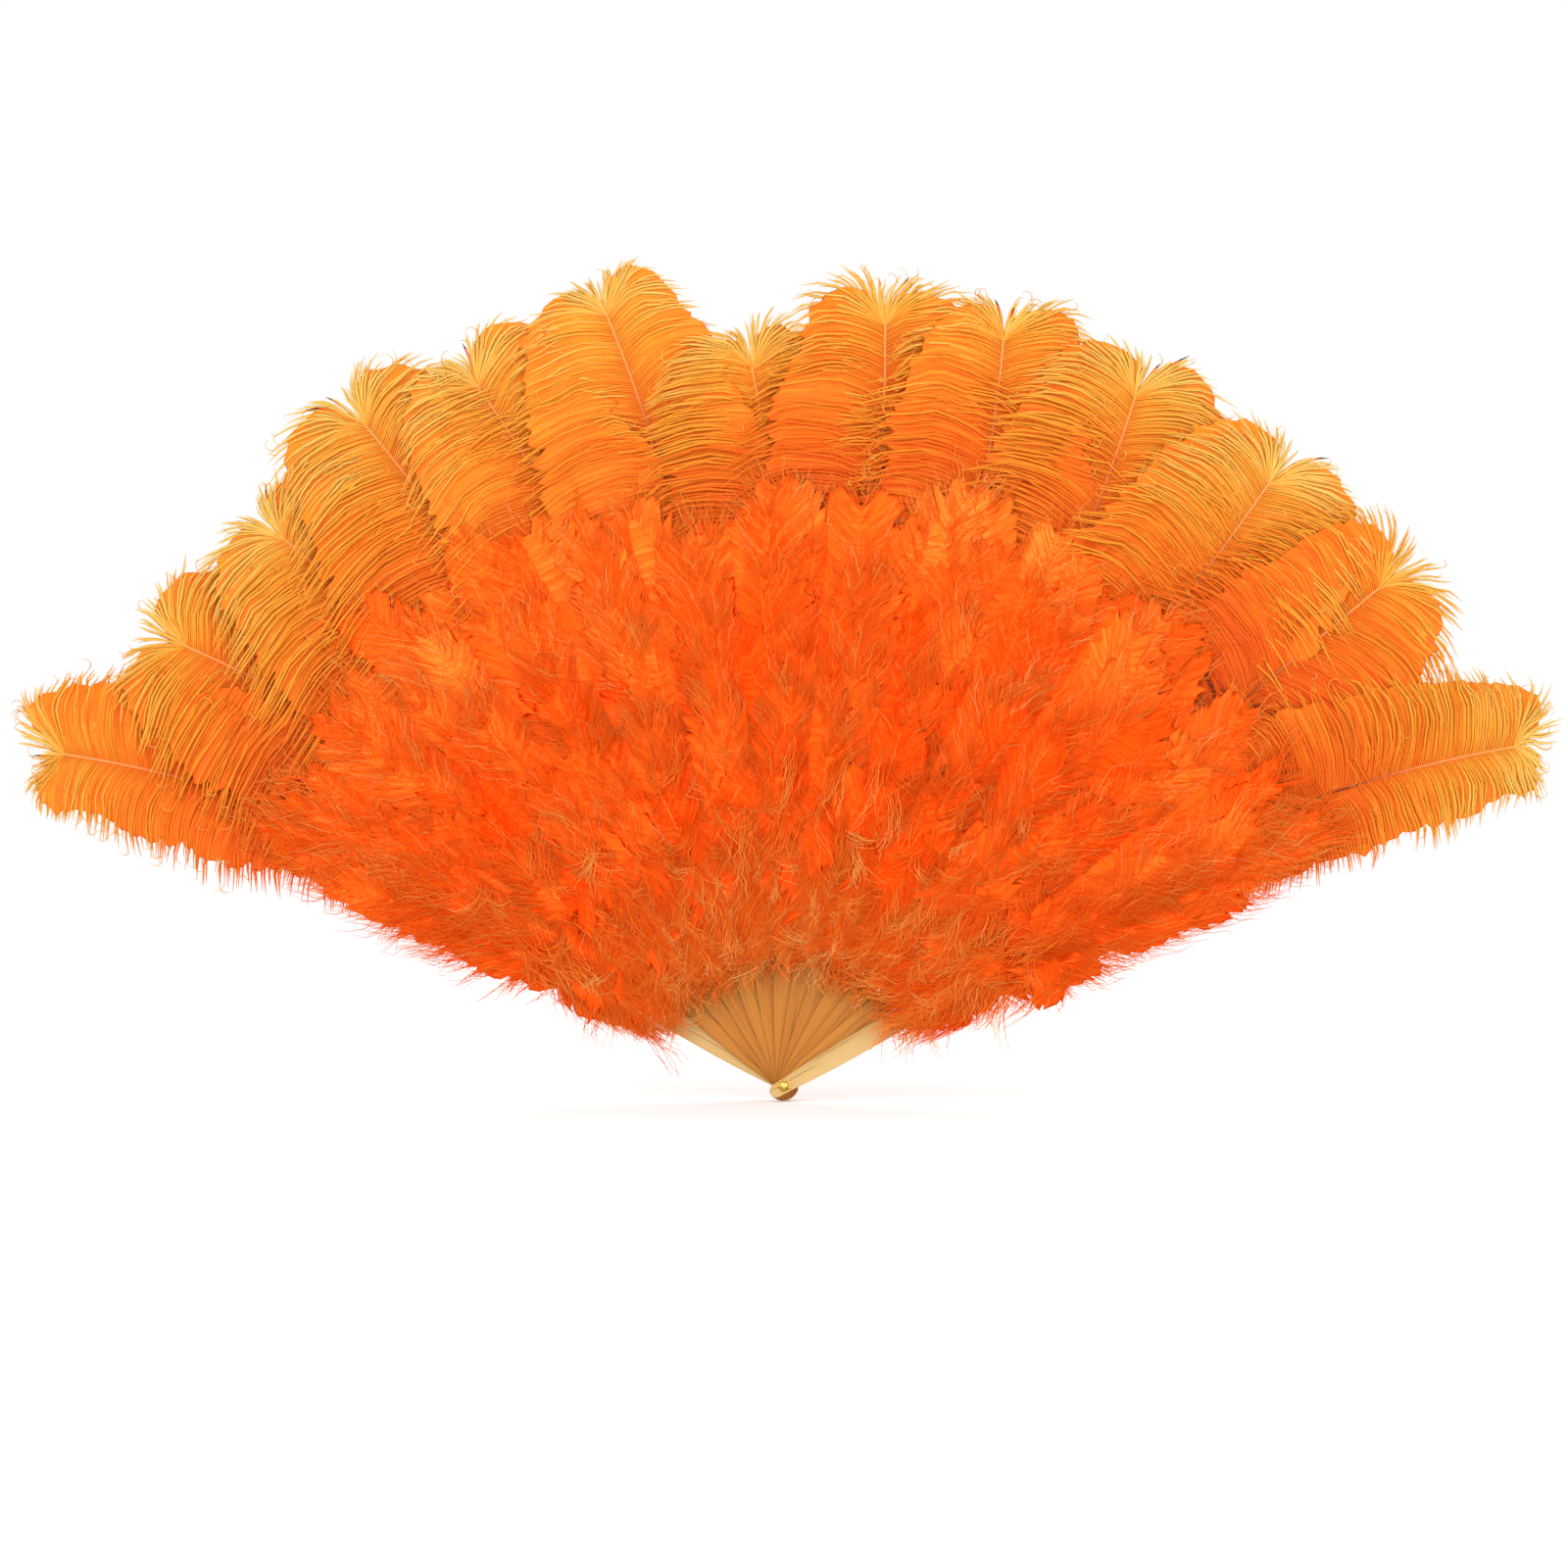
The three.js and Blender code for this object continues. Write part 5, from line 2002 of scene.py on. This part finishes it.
@dataclass(frozen=True)
class LinkingRibbon:
    """The ribbon behind the ribs, in twelve spans. It stops the leaves at the fan's full spread."""

    layout: FanLayout
    at: float = 186 * MM
    width: float = 10 * MM
    thickness: float = 0.35 * MM
    rib_width: float = 6 * MM
    sag: float = 1.6 * MM
    bulge: float = 0.6 * MM
    ripple: float = 0.25 * MM
    folded_share: float = 0.2
    stations: int = 25
    rows: int = 7

    def build(self, material: bpy.types.Material) -> None:
        """Makes, dresses and hangs every span. The upright leaf has none."""
        for leaf in [*range(self.layout.middle), *range(self.layout.middle + 1, self.layout.leaf_count)]:
            self.span(leaf, material)

    def span(self, leaf: int, material: bpy.types.Material) -> None:
        """Makes the span from the middle of a stick to the middle of the next one inwards.

        Args:
            leaf: the number of the stick's leaf.
            material: what the span is dressed in.
        """
        layout = self.layout
        inward = 1 if leaf < layout.middle else -1
        end_turn = layout.seat_gap / 2 / self.at
        faces_at = [layout.back(carrier) + layout.seat_gap for carrier in (leaf, leaf + inward)]
        points, maps = [], []
        for i in range(self.stations):
            share = i / (self.stations - 1)
            turn = inward * (end_turn + (layout.spacing - 2 * end_turn) * share)
            free = self.free_share(share)
            slack = math.sin(free * math.pi)
            y = faces_at[0] + (faces_at[1] - faces_at[0]) * (3 * free**2 - 2 * free**3) + self.sag * slack**2
            for j in range(self.rows):
                across = j / (self.rows - 1)
                reach = self.at + self.width * (across - 0.5) + self.bulge * slack
                ripple = self.ripple * slack * math.sin(across * math.tau + leaf)
                points.append(Vector((reach * math.sin(turn), y + ripple, reach * math.cos(turn))))
                maps.append((share, across))
        piece = self.strip(f"ribbon_span_{layout.label(leaf)}", points, maps, inward)
        piece.data.transform(layout.placing(leaf))
        piece.data.materials.append(material)
        hang(piece, layout, leaf, f"ribbon_{layout.label(leaf)}")
        carriers = [layout.stick_node(leaf), layout.stick_node(leaf + inward)]
        along = layout.placing(leaf) @ Vector((1, 0, 0))
        anchor = layout.placing(leaf) @ Vector((0, faces_at[0], self.at))
        layout.joint(leaf)
        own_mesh(piece)

    def free_share(self, share: float) -> float:
        """Goes from 0 to 1 over the part of the span that hangs free between the two ribs."""
        seated = self.rib_width / 2 / (self.at * self.layout.spacing)
        return min(1.0, max(0.0, (share - seated) / (1 - 2 * seated)))

    def strip(self, name: str, points: list[Vector], maps: list[Pair], inward: int) -> bpy.types.Object:
        """Closes a sheet of points into a thin strip.

        Args:
            name: the piece's name.
            points: the points of the face against the ribs, station by station.
            maps: each point's place on the ribbon.
            inward: 1 or -1, the way that the stations run.

        Returns:
            The piece.
        """
        count = len(points)
        thick = Vector((0, self.thickness, 0))
        places = points + [point + thick for point in points]
        quads = []
        for i in range(self.stations - 1):
            for j in range(self.rows - 1):
                a = i * self.rows + j
                quads.append((a, a + self.rows, a + self.rows + 1, a + 1))
        rim = [i * self.rows for i in range(self.stations)]
        rim += [(self.stations - 1) * self.rows + j for j in range(1, self.rows)]
        rim += [i * self.rows + self.rows - 1 for i in range(self.stations - 2, -1, -1)]
        rim += [j for j in range(self.rows - 2, 0, -1)]
        faces = list(quads) + [tuple(reversed([count + k for k in quad])) for quad in quads]
        for k, here in enumerate(rim):
            after = rim[(k + 1) % len(rim)]
            faces.append((after, here, count + here, count + after))
        if inward < 0:
            faces = [tuple(reversed(face)) for face in faces]
        mesh = bpy.data.meshes.new(name)
        mesh.from_pydata([tuple(place) for place in places], [], faces)
        layer = mesh.uv_layers.new(name=BAKE_MAP)
        for loop in mesh.loops:
            layer.data[loop.index].uv = maps[loop.vertex_index % count]
        for face in mesh.polygons:
            face.use_smooth = True
        return object_of(name, mesh)


@dataclass(frozen=True)
class BambooSticks:
    """The eleven inner sticks and the two guards, whose solids stay and are dressed."""

    layout: FanLayout

    def dress(self) -> None:
        """Gives every stick its own run of fibres."""
        for leaf in range(self.layout.leaf_count):
            finish = GUARD_BAMBOO if self.layout.is_guard(leaf) else BAMBOO
            name = self.layout.stick_node(leaf)
            dress_solid(name, finish.material(self.layout.turn(leaf), float(leaf)))


@dataclass(frozen=True)
class PivotRivet:
    """The rivet and its two washers, whose solids stay and are dressed."""

    nodes: tuple[str, ...] = ("rivet", "washer_front", "washer_back")

    def dress(self, material: bpy.types.Material) -> None:
        """Dresses the rivet and its washers in brass."""
        for name in self.nodes:
            dress_solid(name, material)


def dress_solid(node: str, material: bpy.types.Material) -> None:
    """Puts a material on every slot of a solid, and reports it.

    Args:
        node: the solid's name.
        material: the material.
    """
    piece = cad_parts[node]
    for slot in piece.material_slots:
        slot.material = material
    log.info("%s: dressed in %s", node, material.name)


# The studio


class StudioLamp(Enum):
    """The soft lamps, each with its place, width, height and power in watts."""

    KEY = ((-0.9, -2.9, 1.1), 2.0, 2.0, 56.0)
    FILL = ((1.0, -2.9, 0.2), 1.8, 1.8, 42.0)
    BACK = ((0.4, 2.2, 1.6), 1.6, 1.6, 14.0)


@dataclass(frozen=True)
class Studio:
    """The floor, the lamps and the camera."""

    image_centre: float = 153.5 * MM
    view_width: float = 0.8
    distance: float = 3.0
    sensor: float = 36.0
    floor_size: float = 5.0
    floor_z: float = -8.2 * MM
    floor_colour: Colour = (0.9, 0.9, 0.9, 1.0)
    floor_roughness: float = 0.9
    floor_glow: float = 0.25
    sky: float = 0.78
    aim: tuple[float, float, float] = (0.0, 0.0, 220 * MM)

    def build(self) -> None:
        """Sets up everything around the fan."""
        self.floor()
        self.world()
        for lamp in StudioLamp:
            self.lamp(lamp)
        self.camera()
        bpy.context.scene.view_settings.view_transform = "Standard"

    def floor(self) -> None:
        """Lays the pale floor."""
        half = self.floor_size / 2
        mesh = bpy.data.meshes.new("floor")
        corners = [(-half, -half), (half, -half), (half, half), (-half, half)]
        mesh.from_pydata([(x, y, self.floor_z) for x, y in corners], [], [(0, 1, 2, 3)])
        material, bench, shader = new_material("pale floor")
        bench.feed_all(shader, {
            "Base Color": self.floor_colour,
            "Roughness": self.floor_roughness,
            "Emission Color": WHITE,
            "Emission Strength": bench.value("ShaderNodeLightPath", output="Is Camera Ray") * self.floor_glow,
        })
        mesh.materials.append(material)
        object_of("floor", mesh)

    def world(self) -> None:
        """Fills the room with soft light, and shows it white."""
        world = bpy.data.worlds.new("studio")
        bpy.context.scene.world = world
        world.use_nodes = True
        world.node_tree.nodes.clear()
        bench = NodeBench(world.node_tree)
        path = bench.add("ShaderNodeLightPath")
        seen = bench.math("MAXIMUM", bench.out(path, "Is Camera Ray"), bench.out(path, "Is Glossy Ray"))
        inputs = {"Color": WHITE, "Strength": bench.between(self.sky, 1.0, seen)}
        background = bench.add("ShaderNodeBackground", None, inputs)
        output = bench.add("ShaderNodeOutputWorld")
        world.node_tree.links.new(background.outputs[0], output.inputs["Surface"])

    def lamp(self, lamp: StudioLamp) -> None:
        """Hangs one lamp and points it at the middle of the fan.

        Args:
            lamp: the lamp.
        """
        place, width, height, power = lamp.value
        light = bpy.data.lights.new(f"lamp_{lamp.name.lower()}", "AREA")
        light.shape, light.size, light.size_y, light.energy = "RECTANGLE", width, height, power
        item = object_of(light.name, light)
        item.location = place
        item.rotation_euler = (Vector(self.aim) - Vector(place)).to_track_quat("-Z", "Y").to_euler()

    def camera(self) -> None:
        """Stands the camera straight in front, level with the middle of the picture."""
        data = bpy.data.cameras.new("camera")
        data.sensor_width = self.sensor
        data.lens = self.sensor * self.distance / self.view_width
        item = object_of("camera", data)
        item.location = (0, -self.distance, self.image_centre)
        item.rotation_euler = (math.pi / 2, 0, 0)
        bpy.context.scene.camera = item


def main() -> None:
    """Builds the fan, part by part."""
    logging.basicConfig(level=logging.INFO, format="%(message)s")
    Studio().build()
    BambooSticks(LAYOUT).dress()
    PivotRivet().dress(BrassFinish().material())
    LinkingRibbon(LAYOUT).build(SatinFinish().material())
    OstrichPlumes(LAYOUT).build(PlumeBarbTree("Plume Barbs"), OSTRICH.material())
    MarabouTufts(LAYOUT).build(DownBarbTree("Down Barbs"), MARABOU.material())


if __name__ == "__main__":
    main()
